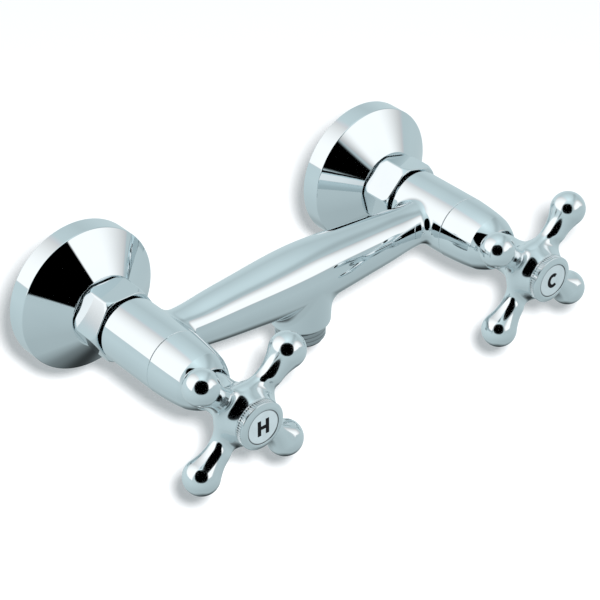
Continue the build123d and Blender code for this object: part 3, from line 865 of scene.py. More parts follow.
class Paint(Nodes):
    """Builds the node tree of a material, a lamp or the world."""

    def __init__(self, owner):
        owner.use_nodes = True
        super().__init__(owner.node_tree)
        self.tree.nodes.clear()

    def coordinates(self, x=0.0, y=0.0, z=0.0, stretch=(1.0, 1.0, 1.0)):
        """Object coordinates about a point given in millimetres."""
        here = self.node("ShaderNodeTexCoord", None, None, "Object")
        move = (-x * MM * stretch[0], -y * MM * stretch[1], -z * MM * stretch[2])
        return self.node("ShaderNodeMapping", None, {"Vector": here, "Location": move, "Scale": stretch})

    def parts(self, vector):
        """The three numbers of a vector."""
        split = self.node("ShaderNodeSeparateXYZ", None, {0: vector}).socket.node
        return [Wire(self, output) for output in split.outputs]

    def noise(self, where, scale, detail=2.0, roughness=0.5):
        """Noise between 0 and 1."""
        inputs = {"Vector": where, "Scale": scale, "Detail": detail, "Roughness": roughness}
        return self.node("ShaderNodeTexNoise", {"noise_dimensions": "3D"}, inputs, "Fac")

    def span(self, value, low, high, start=0.0, stop=1.0):
        """A value taken smoothly from one range to another."""
        inputs = {"Value": value, "From Min": low, "From Max": high, "To Min": start, "To Max": stop}
        return self.node("ShaderNodeMapRange", {"interpolation_type": "SMOOTHSTEP"}, inputs)

    def fall(self, value, low, high, foot=0.0):
        """1 below a range, dropping smoothly through it to the foot."""
        return self.span(value, low, high, 1.0, foot)

    def blend(self, share, first, second):
        """A colour between two."""
        settings = {"data_type": "RGBA", "blend_type": "MIX"}
        return self.node("ShaderNodeMix", settings, {0: share, 6: first, 7: second}, 2)

    def mottle(self, share, tint, darker):
        """A tint that goes to a darker share of itself."""
        return self.blend(share, tuple(tint), tuple(c * darker for c in tint))

    def bump(self, height, distance):
        """A normal from a height between 0 and 1 and its full size in metres."""
        return self.node("ShaderNodeBump", None, {"Height": height, "Strength": 1.0, "Distance": distance})

    def only(self, ray):
        """1 for one kind of ray, and 0 for the others."""
        return self.node("ShaderNodeLightPath", None, None, f"Is {ray} Ray")

    def surface(self, inputs):
        """Ends a material in the main surface shader."""
        self.end("Material", self.node("ShaderNodeBsdfPrincipled", None, inputs))

    def end(self, kind, shader):
        """Ends the tree of a material, a lamp or the world."""
        self.node("ShaderNodeOutput" + kind, None, {"Surface": shader})


def apart(a, b):
    """The distance that two steps at right angles make."""
    return (a * a + b * b) ** 0.5


def made_once(build):
    """Makes the material of a name when it is first asked for, and finds it again after that."""

    @functools.wraps(build)
    def named(name, *values):
        if name not in bpy.data.materials:
            build(Paint(bpy.data.materials.new(name)), *values)
        return bpy.data.materials[name]

    return named


@made_once
def chrome(paint, waviness, wave_size, brushed=0.0, stain_and_groove_shade=None):
    """Chromium plate: mirror bright, a little wavy from polishing, with faint haze and hairlines. A groove
    mask, when given, paints shade into the plate between ridges and ribs.
    """
    f = finishes()
    here = paint.coordinates()
    wave = paint.noise(here, 1 / (wave_size * MM), 1.0)
    film = paint.noise(here, 45.0, 3.0)
    specks = paint.noise(here, 900.0, 2.0)
    hairs = paint.noise(paint.coordinates(stretch=(1.0, 14.0, 1.0)), 700.0, 2.0)
    haze = paint.span(film, 0.35, 0.8)
    tint = paint.blend(haze * 0.6, tuple(f.plate), tuple(f.haze))
    # painted shade: the plate goes near black where the groove mask is, in the hollows of threads and knurls
    if stain_and_groove_shade:
        groove_shade_tint = (0.03, 0.04, 0.045)
        tint = paint.blend(stain_and_groove_shade(paint), tint, groove_shade_tint)
    haze_rough, speck_rough, hair_rough = 0.018, 0.012, 0.014
    rough = f.polish + haze * haze_rough + paint.span(specks, 0.6, 0.9) * speck_rough
    rough = rough + paint.span(hairs, 0.62, 0.85) * (hair_rough + brushed)
    speck_height, hair_height = 0.0004, 0.0003
    relief = wave * (waviness * MM) + specks * (speck_height * MM) + hairs * (hair_height * MM)
    normal = paint.bump(relief, 1.0)
    paint.surface({"Base Color": tint, "Metallic": 1.0, "Roughness": rough, "Normal": normal})


@made_once
def turned_metal(paint, tint, x, roughness):
    """Bare metal with fine turning marks round a valve's line."""
    here = paint.coordinates(x=x)
    across, depth, height = paint.parts(here)
    crowding = 9.0
    line = {0: apart(across, height) * crowding, 1: depth * crowding, 2: 0.0}
    marks = paint.noise(paint.node("ShaderNodeCombineXYZ", None, line), 500.0, 3.0)
    stain_and_groove_shade = paint.noise(here, 120.0, 4.0)
    shade = paint.mottle(paint.span(stain_and_groove_shade, 0.4, 0.75), tint, 0.72)
    mark_rough, mark_depth = 0.14, 0.006
    normal = paint.bump(marks, mark_depth * MM)
    rough = roughness + marks * mark_rough
    paint.surface({"Base Color": shade, "Metallic": 1.0, "Roughness": rough, "Normal": normal})


@made_once
def dull(paint, tint, roughness, grain, relief, speck=0.8, gloss=0.5):
    """A soft or sintered material with a fine grain."""
    here = paint.coordinates()
    fine = paint.noise(here, grain, 4.0, 0.6)
    broad = paint.noise(here, grain / 9, 2.0)
    shade = paint.mottle(paint.span(fine, 0.35, 0.75), tint, speck)
    rough = roughness + broad * 0.15
    normal = paint.bump(fine, relief * MM)
    paint.surface({"Base Color": shade, "Roughness": rough, "Normal": normal, "Specular IOR Level": gloss})


@made_once
def enamel(paint, tint):
    """The pale satin face of an index disc, with a painted shade line along its rim for the gap to the ring."""
    here = paint.coordinates()
    cloud = paint.noise(here, 260.0, 3.0)
    grain = paint.noise(here, 4200.0, 2.0)
    shade = paint.mottle(paint.span(cloud, 0.3, 0.75), tint, 0.93)
    x, _, z = paint.parts(here)
    away = apart(paint.math("ABSOLUTE", x) - HALF_SPACING * MM, z)
    rim = half_width("hot_index_disc")
    # painted shade: a dark line along the disc's rim, standing for the shaded gap to the ring
    rim_shade = paint.span(away, (rim - 0.6) * MM, (rim - 0.15) * MM)
    rim_shade_tint = (0.02, 0.025, 0.028)
    shade = paint.blend(rim_shade * 0.9, shade, rim_shade_tint)
    grain_rough, grain_depth = 0.12, 0.003
    rough = 0.22 + grain * grain_rough
    normal = paint.bump(grain, grain_depth * MM)
    coat = {"Coat Weight": 0.25, "Coat Roughness": 0.08}
    paint.surface({"Base Color": shade, "Roughness": rough, "Normal": normal, **coat})


def seal_rubber():
    """Black moulded rubber."""
    return dull("seal_rubber", finishes().rubber, 0.5, 1500.0, 0.012)


def fitting_chrome():
    """Plate over machined fittings."""
    return chrome("chrome_fitting", 0.0006, 9.0, 0.03)


def thread_chrome(out, root, crest):
    """Plate over the upright outlet thread, with painted shade on the flanks of its ridges, lighter on the
    crests.
    """

    def stain_and_groove_shade(paint):
        x, y = (part / MM for part in paint.parts(paint.coordinates(y=-out))[:2])
        away = apart(x, y)
        # painted shade on the thread's flanks, with less of it on the crests
        on_crest = paint.span(away, crest - 0.3, crest - 0.05)
        return paint.span(away, root - 0.25, root - 0.1) * (0.92 - on_crest * 0.42)

    return chrome("chrome_thread", 0.0006, 9.0, 0.03, stain_and_groove_shade)


def ring_chrome():
    """Plate over the index rings, with painted shade between the ribs of the knurl."""

    def stain_and_groove_shade(paint):
        x, y, z = (part / MM for part in paint.parts(paint.coordinates()))
        away = apart(paint.math("ABSOLUTE", x) - HALF_SPACING, z)
        # painted shade in the grooves between the knurl's ribs
        groove = paint.span(away, RING_R - 0.7, RING_R - 0.6) * paint.fall(away, RING_R - 0.35, RING_R - 0.1)
        return groove * paint.span(0 - y, KNURL_TOP - 0.05, KNURL_TOP + 0.05, 0.95, 0.0)

    return chrome("chrome_ring", 0.0008, 6.0, 0.0, stain_and_groove_shade)


@made_once
def pale_floor(paint, pale):
    """A white floor that only the camera sees, from above, and that fades out far from the mixer."""
    shade = paint.mottle(paint.noise(paint.coordinates(), 9.0, 3.0), pale, 0.99)
    lit = paint.node("ShaderNodeBsdfDiffuse", None, {"Color": shade})
    glow = paint.node("ShaderNodeEmission", None, {"Color": (1.0, 0.98, 0.99), "Strength": 0.05})
    both = paint.node("ShaderNodeAddShader", None, {0: lit, 1: glow})
    below = paint.node("ShaderNodeNewGeometry", None, None, "Backfacing")
    x, y = paint.parts(paint.coordinates())[:2]
    near = paint.fall(apart(x, y), 0.45, 0.7)
    clear = paint.node("ShaderNodeBsdfTransparent")
    share = paint.only("Camera") * (1 - below) * near
    paint.end("Material", paint.node("ShaderNodeMixShader", None, {0: share, 1: clear, 2: both}))


@made_once
def tent_opening(paint, half_across, half_height):
    """Black inside a rounded square that only mirrors show, and clear everywhere else."""
    x, y, z = paint.parts(paint.coordinates())
    aside, drop, squareness = 0.024, 0.03, 2.6
    across = paint.math("ABSOLUTE", (along(x, y, z, RIGHT) - aside) / half_across)
    height = paint.math("ABSOLUTE", (along(x, y, z, UP) + drop) / half_height)
    away = (across**squareness + height**squareness) ** (1 / squareness)
    dark = paint.node("ShaderNodeEmission", None, {"Color": (0.0, 0.0, 0.0), "Strength": 0.0})
    clear = paint.node("ShaderNodeBsdfTransparent")
    share = paint.fall(away, 0.96, 1.05) * paint.only("Glossy")
    paint.end("Material", paint.node("ShaderNodeMixShader", None, {0: share, 1: clear, 2: dark}))


# The pieces


def seat(piece, body, slot, *nodes):
    """Puts a piece on its body, in the place of frame nodes. The slot argument is not used."""
    if nodes:
        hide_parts(*nodes)
    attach(piece, body)
    return piece


class Spot:
    """Where a part of one side stands, read from its frame node, in millimetres."""

    def __init__(self, side, part):
        self.side = side
        self.valve = side + "_valve"
        self.node = side + "_" + part
        self.x = HALF_SPACING if side == "cold" else -HALF_SPACING
        self.rear = out_rear(self.node)
        self.front = out_front(self.node)
        self.radius = half_width(self.node)


def spots(part):
    """Where a part stands on the hot side and on the cold side."""
    return [Spot(side, part) for side in ("hot", "cold")]


class MIXER_OT_cast_body(bpy.types.Operator):
    """Builds the cast body with its barrels, swelling bar and outlet boss"""

    bl_idname = "mixer.cast_body"
    bl_label = "Cast Body"

    def execute(self, context):
        step, margin = 0.6, 0.8
        outside = HALF_SPACING + BARREL_R + 1
        front_edge = (-BODY_FRONT - 0.1, -BODY_FRONT + 0.4, 0.1)
        rear_edge = (-BODY_REAR - 0.9, -BODY_REAR + 0.1, 0.1)
        foot_edge = (-BOSS_DROP - 0.1, -BOSS_DROP + 2.2, 0.25)
        across = spaced(-outside, outside, step)
        depth = spaced(-BODY_FRONT - margin, -BODY_REAR + margin, step, (front_edge, rear_edge))
        height = spaced(-BOSS_DROP - margin, BARREL_R + 1, step, (foot_edge,))
        piece = skin("cast_body", body_field(), (across, depth, height), chrome("chrome_cast", 0.0035, 16.0))
        seat(piece, "mixer", "chrome_body", "mixer_body")
        return {"FINISHED"}


def ridge(threads, name, core, depth, run, place, material):
    """The ridge of a thread round a core of the fixed fittings, with sizes in millimetres."""
    values = {
        "Core Radius": core * MM,
        "Depth": depth * MM,
        "Pitch": sizes().thread_pitch * MM,
        "Length": run * MM,
        "Material": material,
    }
    seat(threads.grow(name, values, place), "mixer", "chrome_fitting")


class MIXER_OT_outlet(bpy.types.Operator):
    """Builds the outlet nipple with its hose thread"""

    bl_idname = "mixer.outlet"
    bl_label = "Outlet"

    def execute(self, context):
        s = sizes()
        step, margin = 0.35, 0.5
        foot = reach("outlet_nipple", 2, 0)
        top = reach("outlet_nipple", 2, 1)
        crest = half_width("outlet_nipple")
        root = crest - s.thread_depth
        foot_edge = (foot - 0.1, foot + 0.6, 0.1)
        outside = crest + 0.8
        across = spaced(-outside, outside, step)
        height = spaced(foot - margin, top + margin, step, (foot_edge,))
        plate = thread_chrome(s.bar_out, root, crest)
        piece = skin("outlet_core", nipple_field(), (across, across - s.bar_out, height), plate)
        seat(piece, "mixer", "chrome_fitting", "outlet_nipple")
        start, rest = 0.9, 1.6
        run = reach("outlet_seal", 2, 0) - foot - rest
        place = placed(0, -s.bar_out, foot + start)
        ridge(thread_tree(), "outlet_thread", root, s.thread_depth, run, place, plate)
        return {"FINISHED"}


class MIXER_OT_wall_flanges(bpy.types.Operator):
    """Builds the hollow wall flanges"""

    bl_idname = "mixer.wall_flanges"
    bl_label = "Wall Flanges"

    def execute(self, context):
        s = sizes()
        rim, mouth, wall = s.flange_rim, s.flange_mouth, s.flange_wall
        edge, shoulder_rounding = 0.3, 0.6
        hole_r = UNION_THREAD_R + 0.05
        for spot in spots("wall_flange"):
            rim_r, depth = spot.radius, spot.front
            outline = Outline(rim_r - wall / 2, 0.0)
            outline.corner(rim_r, 0.0, rim_r, rim, edge)
            outline.corner(rim_r, rim, mouth, depth, shoulder_rounding, 8)
            outline.corner(mouth, depth, hole_r, depth, edge)
            outline.lines((hole_r, depth), (hole_r, depth - wall), (mouth - wall, depth - wall))
            outline.lines((rim_r - wall, rim - wall / 2), (rim_r - wall, 0.0), (rim_r - wall / 2, 0.0))
            plate = chrome("chrome_pressed", 0.0012, 22.0)
            piece = lathe(spot.side + "_flange", outline, spot.x, plate, 192)
            seat(piece, "mixer", "chrome_flange", spot.node)
        return {"FINISHED"}


class MIXER_OT_unions(bpy.types.Operator):
    """Builds the offset unions with their threads, the inlet tails and the union nuts"""

    bl_idname = "mixer.unions"
    bl_label = "Unions And Nuts"

    def execute(self, context):
        threads = thread_tree()
        for spot, tail, nut in zip(spots("offset_union"), spots("inlet_tail"), spots("union_nut")):
            self.union(spot, threads)
            self.tail(tail, nut.front)
            self.nut(nut)
        return {"FINISHED"}

    def union(self, spot, threads):
        """The offset union and the ridges of its two threads."""
        step, wide = 0.5, UNION_THREAD_R + 0.5
        across = spaced(spot.x - wide, spot.x + wide, step)
        depth = spaced(-spot.front - 0.6, WALL_THREAD + 0.8, step)
        height = spaced(-INLET_DROP - wide, wide, step)
        field = union_field(spot.x, spot.front)
        piece = skin(spot.side + "_union", field, (across, depth, height), fitting_chrome())
        seat(piece, "mixer", "chrome_fitting", spot.node)
        crest = sizes().thread_depth
        start, run = 0.4, WALL_THREAD - 1.0
        place = placed(spot.x, start, -INLET_DROP, -math.pi / 2)
        name = spot.side + "_wall_thread"
        ridge(threads, name, WALL_THREAD_R - crest, crest, run, place, fitting_chrome())
        start, run = NECK + 0.8, spot.front - (NECK + 1.4)
        place = placed(spot.x, -start, 0, math.pi / 2)
        name = spot.side + "_union_thread"
        ridge(threads, name, UNION_CORE_R, UNION_THREAD_DEPTH, run, place, fitting_chrome())

    def tail(self, spot, nut_front):
        """The tail with the collar that the nut pulls on."""
        collar_top = nut_front - NUT_FACE
        bore_r, neck_r, end_r = 6.0, 9.5, 8.5
        outline = polygon(
            (bore_r, spot.rear, 0.0),
            (spot.radius, spot.rear, 0.3),
            (spot.radius, collar_top, 0.3),
            (neck_r, collar_top, 0.0),
            (neck_r, BODY_REAR, 0.0),
            (end_r, BODY_REAR, 0.0),
            (end_r, spot.front, 0.4),
            (bore_r, spot.front, 0.0),
        )
        piece = lathe(spot.side + "_tail", outline, spot.x, fitting_chrome(), 128)
        seat(piece, "mixer", "chrome_fitting", spot.node)

    def nut(self, spot):
        """The hexagon nut."""
        step, margin, wide = 0.35, 0.5, 17.0
        across = spaced(spot.x - wide, spot.x + wide, step)
        depth = spaced(-spot.front - margin, -spot.rear + margin, step)
        height = spaced(-wide, wide, step)
        field = nut_field(spot.x, getattr(sizes(), spot.side + "_nut"), spot.rear, spot.front)
        plate = chrome("chrome_machined", 0.0008, 7.0)
        piece = skin(spot.side + "_nut", field, (across, depth, height), plate)
        seat(piece, "mixer", "chrome_nut", spot.node)


class MIXER_OT_shrouds(bpy.types.Operator):
    """Builds the domed shrouds over the valves"""

    bl_idname = "mixer.shrouds"
    bl_label = "Shrouds"

    def execute(self, context):
        for spot in spots("shroud"):
            r, rear, front = spot.radius, spot.rear, spot.front
            inner, lip = r - 1.1, r - 0.55
            hole_r, thread_r = 8.1, 8.55
            outline = Outline(lip, rear)
            outline.corner(r, rear, r - 0.05, rear + 1.0, 0.25)
            outline.line(r - 0.03, rear + 0.6)
            outline.curve((r - 0.22, rear + 4.5), (r - 0.75, rear + 11.5), (r - 1.75, rear + 15.9), 22)
            outline.curve((r - 2.455, rear + 17.9), (r - 3.6, front - 1.6), (r - 4.75, front - 0.15), 14)
            outline.curve((r - 4.85, front), (r - 5.0, front), (r - 5.15, front - 0.02), 4)
            outline.lines((hole_r, front - 0.35), (hole_r, front - 1.1))
            outline.curve((9.1, front - 2.6), (r - 3.2, rear + 17.4), (r - 2.95, rear + 15.4), 12)
            outline.curve((inner - 0.5, rear + 13.5), (inner - 0.1, rear + 12.0), (inner, rear + 11.0), 8)
            outline.lines((thread_r, rear + 11.0), (thread_r, rear + 8.0), (inner, rear + 8.0), (inner, rear))
            outline.line(lip, rear)
            plate = chrome("chrome_spun", 0.0014, 14.0)
            piece = lathe(spot.side + "_dome", outline, spot.x, plate, 160)
            seat(piece, "mixer", "chrome_shroud", spot.node)
        return {"FINISHED"}


class MIXER_OT_handles(bpy.types.Operator):
    """Builds the two cast cross handles"""

    bl_idname = "mixer.handles"
    bl_label = "Cross Handles"

    def execute(self, context):
        s = sizes()
        step, margin = 0.42, 0.9
        front_edge = (-HUB_FRONT - 0.1, -HUB_FRONT + 0.3, 0.1)
        depth = spaced(-s.arm_out - s.ball - margin, -HUB_REAR + margin, step, (front_edge,))
        for spot in spots("handle"):
            across = spaced(reach(spot.node, 0, 0) - margin, reach(spot.node, 0, 1) + margin, step)
            height = spaced(reach(spot.node, 2, 0) - margin, reach(spot.node, 2, 1) + margin, step)
            field = handle_field(spot.x, getattr(s, spot.side + "_turn"))
            plate = chrome("chrome_handle", 0.0016, 9.0)
            piece = skin(spot.side + "_cross", field, (across, depth, height), plate)
            seat(piece, spot.valve, "chrome_handle", spot.node)
        return {"FINISHED"}


class MIXER_OT_index_rings(bpy.types.Operator):
    """Builds the index rings with their knurled sides"""

    bl_idname = "mixer.index_rings"
    bl_label = "Index Rings"

    def execute(self, context):
        s = sizes()
        knurl = knurl_tree()
        material = ring_chrome()
        bore_r, shank_r, floor_depth = 6.35, 7.35, 1.5
        foot_r, groove_r = RING_R - 0.1, RING_R - KNURL_DEPTH
        for spot, disc in zip(spots("index_ring"), spots("index_disc")):
            front = spot.front
            mouth_r = disc.radius + 0.05
            outline = polygon(
                (bore_r, spot.rear, 0.0),
                (shank_r, spot.rear, 0.3),
                (shank_r, HUB_FRONT, 0.0),
                (foot_r, HUB_FRONT, 0.1),
                (foot_r, HUB_FRONT + 0.4, 0.0),
                (groove_r, HUB_FRONT + 0.5, 0.0),
                (groove_r, KNURL_TOP - 0.1, 0.0),
                (RING_R, KNURL_TOP, 0.0),
                (RING_R, front - 0.85, 0.4),
                (RING_R - 1.8, front, 1.6),
                (mouth_r, front, 0.15),
                (mouth_r, front - floor_depth, 0.0),
                (bore_r, front - floor_depth, 0.0),
            )
            piece = lathe(spot.side + "_ring", outline, spot.x, material, 144)
            seat(piece, spot.valve, "chrome_ring", spot.node)
            rib_start, rib_length, sunk = 0.45, 2.1, 0.3
            values = {
                "Ribs": s.knurl_ribs,
                "Ring Radius": (RING_R - sunk) * MM,
                "Rib Radius": s.knurl_rib * MM,
                "Rib Length": rib_length * MM,
                "Material": material,
            }
            place = placed(spot.x, -HUB_FRONT - rib_start, 0, math.pi / 2)
            seat(knurl.grow(spot.side + "_knurl", values, place), spot.valve, "chrome_ring")
        return {"FINISHED"}


def letter_shapes(letter):
    """The strokes of a plain letter as closed loops of (across, up) corners, in millimetres."""
    s = sizes()
    tall, wide, stroke = s.letter / 2, s.letter * 0.4, s.stroke
    if letter == "H":
        bars = (
            (-wide, -tall, -wide + stroke, tall),
            (wide - stroke, -tall, wide, tall),
            (-wide + stroke, -stroke / 2, wide - stroke, stroke / 2),
        )
        return [[(a, b), (c, b), (c, d), (a, d)] for a, b, c, d in bars]
    wide = wide * 1.12
    gap = math.radians(48)
    steps = 28
    turns = [gap + (2 * math.pi - 2 * gap) * i / steps for i in range(steps + 1)]
    outer = [(math.cos(turn) * wide, math.sin(turn) * tall) for turn in turns]
    inner = [(math.cos(turn) * (wide - stroke), math.sin(turn) * (tall - stroke)) for turn in turns]
    return [[outer[i], outer[i + 1], inner[i + 1], inner[i]] for i in range(steps)]


def raised(loops, x, low, high):
    """Corners and faces of loops raised from one distance from the wall to another, in millimetres."""
    verts, faces = [], []
    for loop in loops:
        start = len(verts)
        total = len(loop)
        for out in (low, high):
            verts.extend((x + a, -out, b) for a, b in loop)
        faces.append([start + total + i for i in range(total)])
        faces.append([start + i for i in reversed(range(total))])
        for i in range(total):
            j = (i + 1) % total
            faces.append([start + i, start + j, start + total + j, start + total + i])
    return verts, faces


class MIXER_OT_index_discs(bpy.types.Operator):
    """Builds the index discs with their plain letters"""

    bl_idname = "mixer.index_discs"
    bl_label = "Index Discs"

    def execute(self, context):
        ink = dull("index_ink", finishes().ink, 0.45, 2600.0, 0.004, 0.8, 0.1)
        face = enamel("index_enamel", finishes().enamel)
        for spot, letter in zip(spots("index_disc"), "HC"):
            rear, front, radius = spot.rear, spot.front, spot.radius
            edge = (radius, front - 0.1, 0.15)
            outline = polygon((0.0, rear, 0.0), (radius, rear, 0.0), edge, (0.0, front, 0.0))
            piece = lathe(spot.side + "_disc", outline, spot.x, face, 96)
            seat(piece, spot.valve, "index_face", spot.node)
            sunk, proud = 0.12, 0.05
            verts, faces = raised(letter_shapes(letter), spot.x, front - sunk, front + proud)
            mesh = bpy.data.meshes.new(spot.side + "_letter")
            mesh.from_pydata((np.array(verts) * MM).tolist(), [], faces)
            mesh.materials.append(ink)
            seat(put(spot.side + "_letter", mesh), spot.valve, "index_face")
        return {"FINISHED"}


def dress(node, material):
    """Gives a frame node its finish."""
    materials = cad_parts[node].data.materials
    materials.clear()
    materials.append(material)


class MIXER_OT_inner_parts(bpy.types.Operator):
    """Gives the valve parts inside the body their own finishes"""

    bl_idname = "mixer.inner_parts"
    bl_label = "Inner Parts"

    def execute(self, context):
        f = finishes()
        rubber = seal_rubber()
        ceramic = dull("lapped_ceramic", f.ceramic, 0.15, 3000.0, 0.001, 0.95)
        looks = {
            "union_washer": rubber,
            "seat_seal": rubber,
            "spindle_rings": rubber,
            "bonnet_gasket": dull("pressed_fibre", f.fibre, 0.6, 900.0, 0.02, 0.6),
            "fixed_disc": ceramic,
            "moving_disc": ceramic,
            "friction_washer": dull("slip_nylon", f.nylon, 0.4, 800.0, 0.004, 0.93),
        }
        for side, x in (("hot", -HALF_SPACING), ("cold", HALF_SPACING)):
            brass = turned_metal(side + "_brass", f.brass, x, 0.16)
            steel = turned_metal(side + "_steel", f.steel, x, 0.2)
            looks.update({"bonnet": brass, "spindle": brass})
            looks.update({"strainer": steel, "spindle_clip": steel, "handle_screw": steel})
            for part, material in looks.items():
                dress(side + "_" + part, material)
        dress("outlet_seal", rubber)
        return {"FINISHED"}


# The studio

BACK = Vector((-0.5363, -0.6352, 0.5558)).normalized()
RIGHT = Vector((0, 0, 1)).cross(BACK).normalized()
UP = BACK.cross(RIGHT)
CAMERA = Vector((-446.0, -578.1, 450.3)) * MM
DEGREES = 180 / math.pi


def aim(bearing, rise):
    """A direction from its bearing and rise in degrees. Bearing 0 is out from the wall, 90 the cold side."""
    turn, lift = math.radians(bearing), math.radians(rise)
    return (math.sin(turn) * math.cos(lift), -math.cos(turn) * math.cos(lift), math.sin(lift))


def along(x, y, z, direction):
    """How far a place or a direction lies along another direction."""
    return x * direction[0] + y * direction[1] + z * direction[2]


def plane(name, corners, material):
    """A flat stage piece."""
    mesh = bpy.data.meshes.new(name)
    mesh.from_pydata(corners, [], [tuple(range(len(corners)))])
    mesh.materials.append(material)
    piece = put(name, mesh)


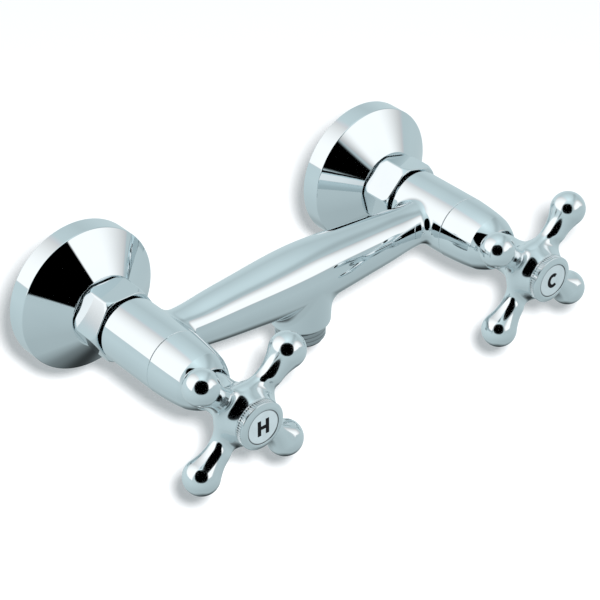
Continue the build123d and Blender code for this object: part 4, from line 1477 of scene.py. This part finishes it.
class MIXER_OT_studio(bpy.types.Operator):
    """Sets up the camera, the floor, the lamp and the light tent"""

    bl_idname = "mixer.studio"
    bl_label = "Studio"

    def execute(self, context):
        scene = context.scene
        scene.view_settings.view_transform = "Standard"
        self.camera(scene)
        self.floor()
        self.lamp()
        self.tent(scene)
        self.opening()
        return {"FINISHED"}

    def camera(self, scene):
        """The photograph's view."""
        data = bpy.data.cameras.new("camera")
        data.lens = studio().focal_length
        data.sensor_width = 36.0
        data.dof.use_dof = False
        camera = put("camera", data)
        camera.matrix_world = Matrix.Translation(CAMERA) @ Matrix((RIGHT, UP, BACK)).transposed().to_4x4()
        scene.camera = camera

    def floor(self):
        """A wide pale floor under the mixer."""
        half, z = 3.0, -studio().floor_drop * MM
        corners = ((-half, -half, z), (half, -half, z), (half, half, z), (-half, half, z))
        plane("floor", corners, pale_floor("pale_floor", studio().floor))

    def lamp(self):
        """A soft lamp beside the camera, for the shadow on the floor. The plate mirrors the tent instead."""
        data = bpy.data.lights.new("lamp", "POINT")
        data.energy = studio().lamp * 4 * math.pi
        data.shadow_soft_size = studio().lamp_size * MM
        data.use_nodes = True
        paint = Paint(data)
        even = paint.node("ShaderNodeLightFalloff", None, {"Strength": 1.0}, "Constant")
        paint.end("Light", paint.node("ShaderNodeEmission", None, {"Color": (1.0, 1.0, 1.0), "Strength": even}))
        lamp = put("lamp", data)
        lamp.location = CAMERA + (RIGHT + UP) * studio().lamp_side * MM
        lamp.visible_glossy = False

    def tent(self, scene):
        """A pale tent with two softboxes behind it, white where the camera looks past the mixer.
        Bearings and rises are in degrees."""
        world = bpy.data.worlds.new("tent")
        world.cycles.sampling_method = "NONE"
        scene.world = world
        paint = Paint(world)
        x, y, z = paint.parts(paint.node("ShaderNodeTexCoord", None, None, "Generated"))
        bearing = paint.math("ARCTAN2", x, 0 - y) * DEGREES
        rise = paint.math("ARCSINE", z) * DEGREES
        seam = along(x, y, z, (-0.535, 0.673, 0.51))
        level = self.cloth(paint, x, y, z, bearing, rise, seam)
        white = self.softboxes(paint, x, y, z, bearing, rise, seam) * studio().softbox
        inputs = {"Vector": tuple(studio().tent), "Scale": level}
        tent = paint.node("ShaderNodeVectorMath", {"operation": "SCALE"}, inputs)
        lights = paint.node("ShaderNodeCombineXYZ", None, {0: white, 1: white, 2: white})
        lit = paint.node("ShaderNodeVectorMath", {"operation": "MAXIMUM"}, {0: tent, 1: lights})
        strength = 1 - paint.only("Diffuse") * (1 - studio().fill)
        glow = paint.node("ShaderNodeBackground", None, {"Color": lit, "Strength": strength})
        plain = paint.node("ShaderNodeBackground", None, {"Color": (1.0, 1.0, 1.0), "Strength": 1.0})
        shown = {0: paint.only("Camera"), 1: glow, 2: plain}
        paint.end("World", paint.node("ShaderNodeMixShader", None, shown))

    def cloth(self, paint, x, y, z, bearing, rise, seam):
        """How bright the tent's cloth is. It is dark at its foot and in the fold at its seam."""
        levels = (0.336, 0.84, 0.866, 0.968, 1.049, 1.034, 0.929, 1.083, 1.286, 1.6)
        brightest, last = max(levels), len(levels) - 1
        stops = [(i / last, (level / brightest,) * 3) for i, level in enumerate(levels)]
        level = paint.node("ShaderNodeValToRGB", {"stops": stops}, {0: rise / 180 + 0.5})
        to_hot, to_wall = 0.033, 0.107
        level = level * brightest * (1 - to_hot * x + to_wall * y)
        foot_darkness, fold_darkness = 0.93, 0.22
        foot = paint.math("ARCCOSINE", along(x, y, z, aim(132.7, -66.0))) * DEGREES
        level = level * (1 - foot_darkness * paint.fall(foot, 3.2, 35.2))
        fold = paint.span(seam, -0.16, 0.03) * paint.fall(seam, 0.03, 0.22)
        fold = fold * paint.span(bearing, 27, 43) * paint.fall(bearing, 107, 123)
        return level * (1 - fold_darkness * fold)

    def softboxes(self, paint, x, y, z, bearing, rise, seam):
        """Where the two softboxes shine through: one on the hot side, one from the middle to the cold side."""
        left = paint.span(y, -0.012, 0.088) * paint.span(rise, 4.8, 7.5)
        left = left * paint.fall(x - 3.07 * z, -1.05, -0.45) * paint.fall(x, -0.6, 0.6, 0.2)
        turn = 45
        right = paint.span(bearing, -18, 6) * paint.fall(bearing, turn, 103)
        past = paint.math("MAXIMUM", bearing - turn)
        right = right * paint.span(rise + past * 0.6, 13, 19) * paint.fall(seam, -0.4, 0.2)
        return paint.math("MAXIMUM", left, right)

    def opening(self):
        """The dark opening of the tent round the camera."""
        away, half = 0.45, 0.34
        corners = []
        for a, b in ((-1, -1), (1, -1), (1, 1), (-1, 1)):
            corners.append(tuple(BACK * away + RIGHT * half * a + UP * half * b))
        plane("opening", corners, tent_opening("tent_opening", 0.280, 0.276))


STEPS = (
    MIXER_OT_cast_body,
    MIXER_OT_outlet,
    MIXER_OT_wall_flanges,
    MIXER_OT_unions,
    MIXER_OT_shrouds,
    MIXER_OT_handles,
    MIXER_OT_index_rings,
    MIXER_OT_index_discs,
    MIXER_OT_inner_parts,
    MIXER_OT_studio,
)


class MIXER_PT_panel(bpy.types.Panel):
    """Lists the steps that build the mixer"""

    bl_idname = "MIXER_PT_panel"
    bl_label = "Shower Mixer"
    bl_space_type = "VIEW_3D"
    bl_region_type = "UI"
    bl_category = "Mixer"

    def draw(self, context):
        for step in STEPS:
            self.layout.operator(step.bl_idname)
        for group in (context.scene.mixer_sizes, context.scene.mixer_finish, context.scene.mixer_studio):
            box = self.layout.box()
            for key in group.__annotations__:
                box.prop(group, key)


GROUPS = (("mixer_sizes", MixerSizes), ("mixer_finish", MixerFinish), ("mixer_studio", MixerStudio))


def register():
    """Registers the settings, the steps and the panel."""
    for key, group in GROUPS:
        bpy.utils.register_class(group)
        setattr(bpy.types.Scene, key, PointerProperty(type=group))
    for item in (*STEPS, MIXER_PT_panel):
        bpy.utils.register_class(item)


def unregister():
    """Takes the settings, the steps and the panel away."""
    for item in (MIXER_PT_panel, *reversed(STEPS)):
        bpy.utils.unregister_class(item)
    for key, group in reversed(GROUPS):
        delattr(bpy.types.Scene, key)
        bpy.utils.unregister_class(group)


def main():
    """Builds the whole mixer."""
    register()
    bpy.ops.mixer.cast_body()
    bpy.ops.mixer.outlet()
    bpy.ops.mixer.wall_flanges()
    bpy.ops.mixer.unions()
    bpy.ops.mixer.shrouds()
    bpy.ops.mixer.handles()
    bpy.ops.mixer.index_rings()
    bpy.ops.mixer.index_discs()
    bpy.ops.mixer.inner_parts()
    bpy.ops.mixer.studio()


if __name__ == "__main__":
    main()
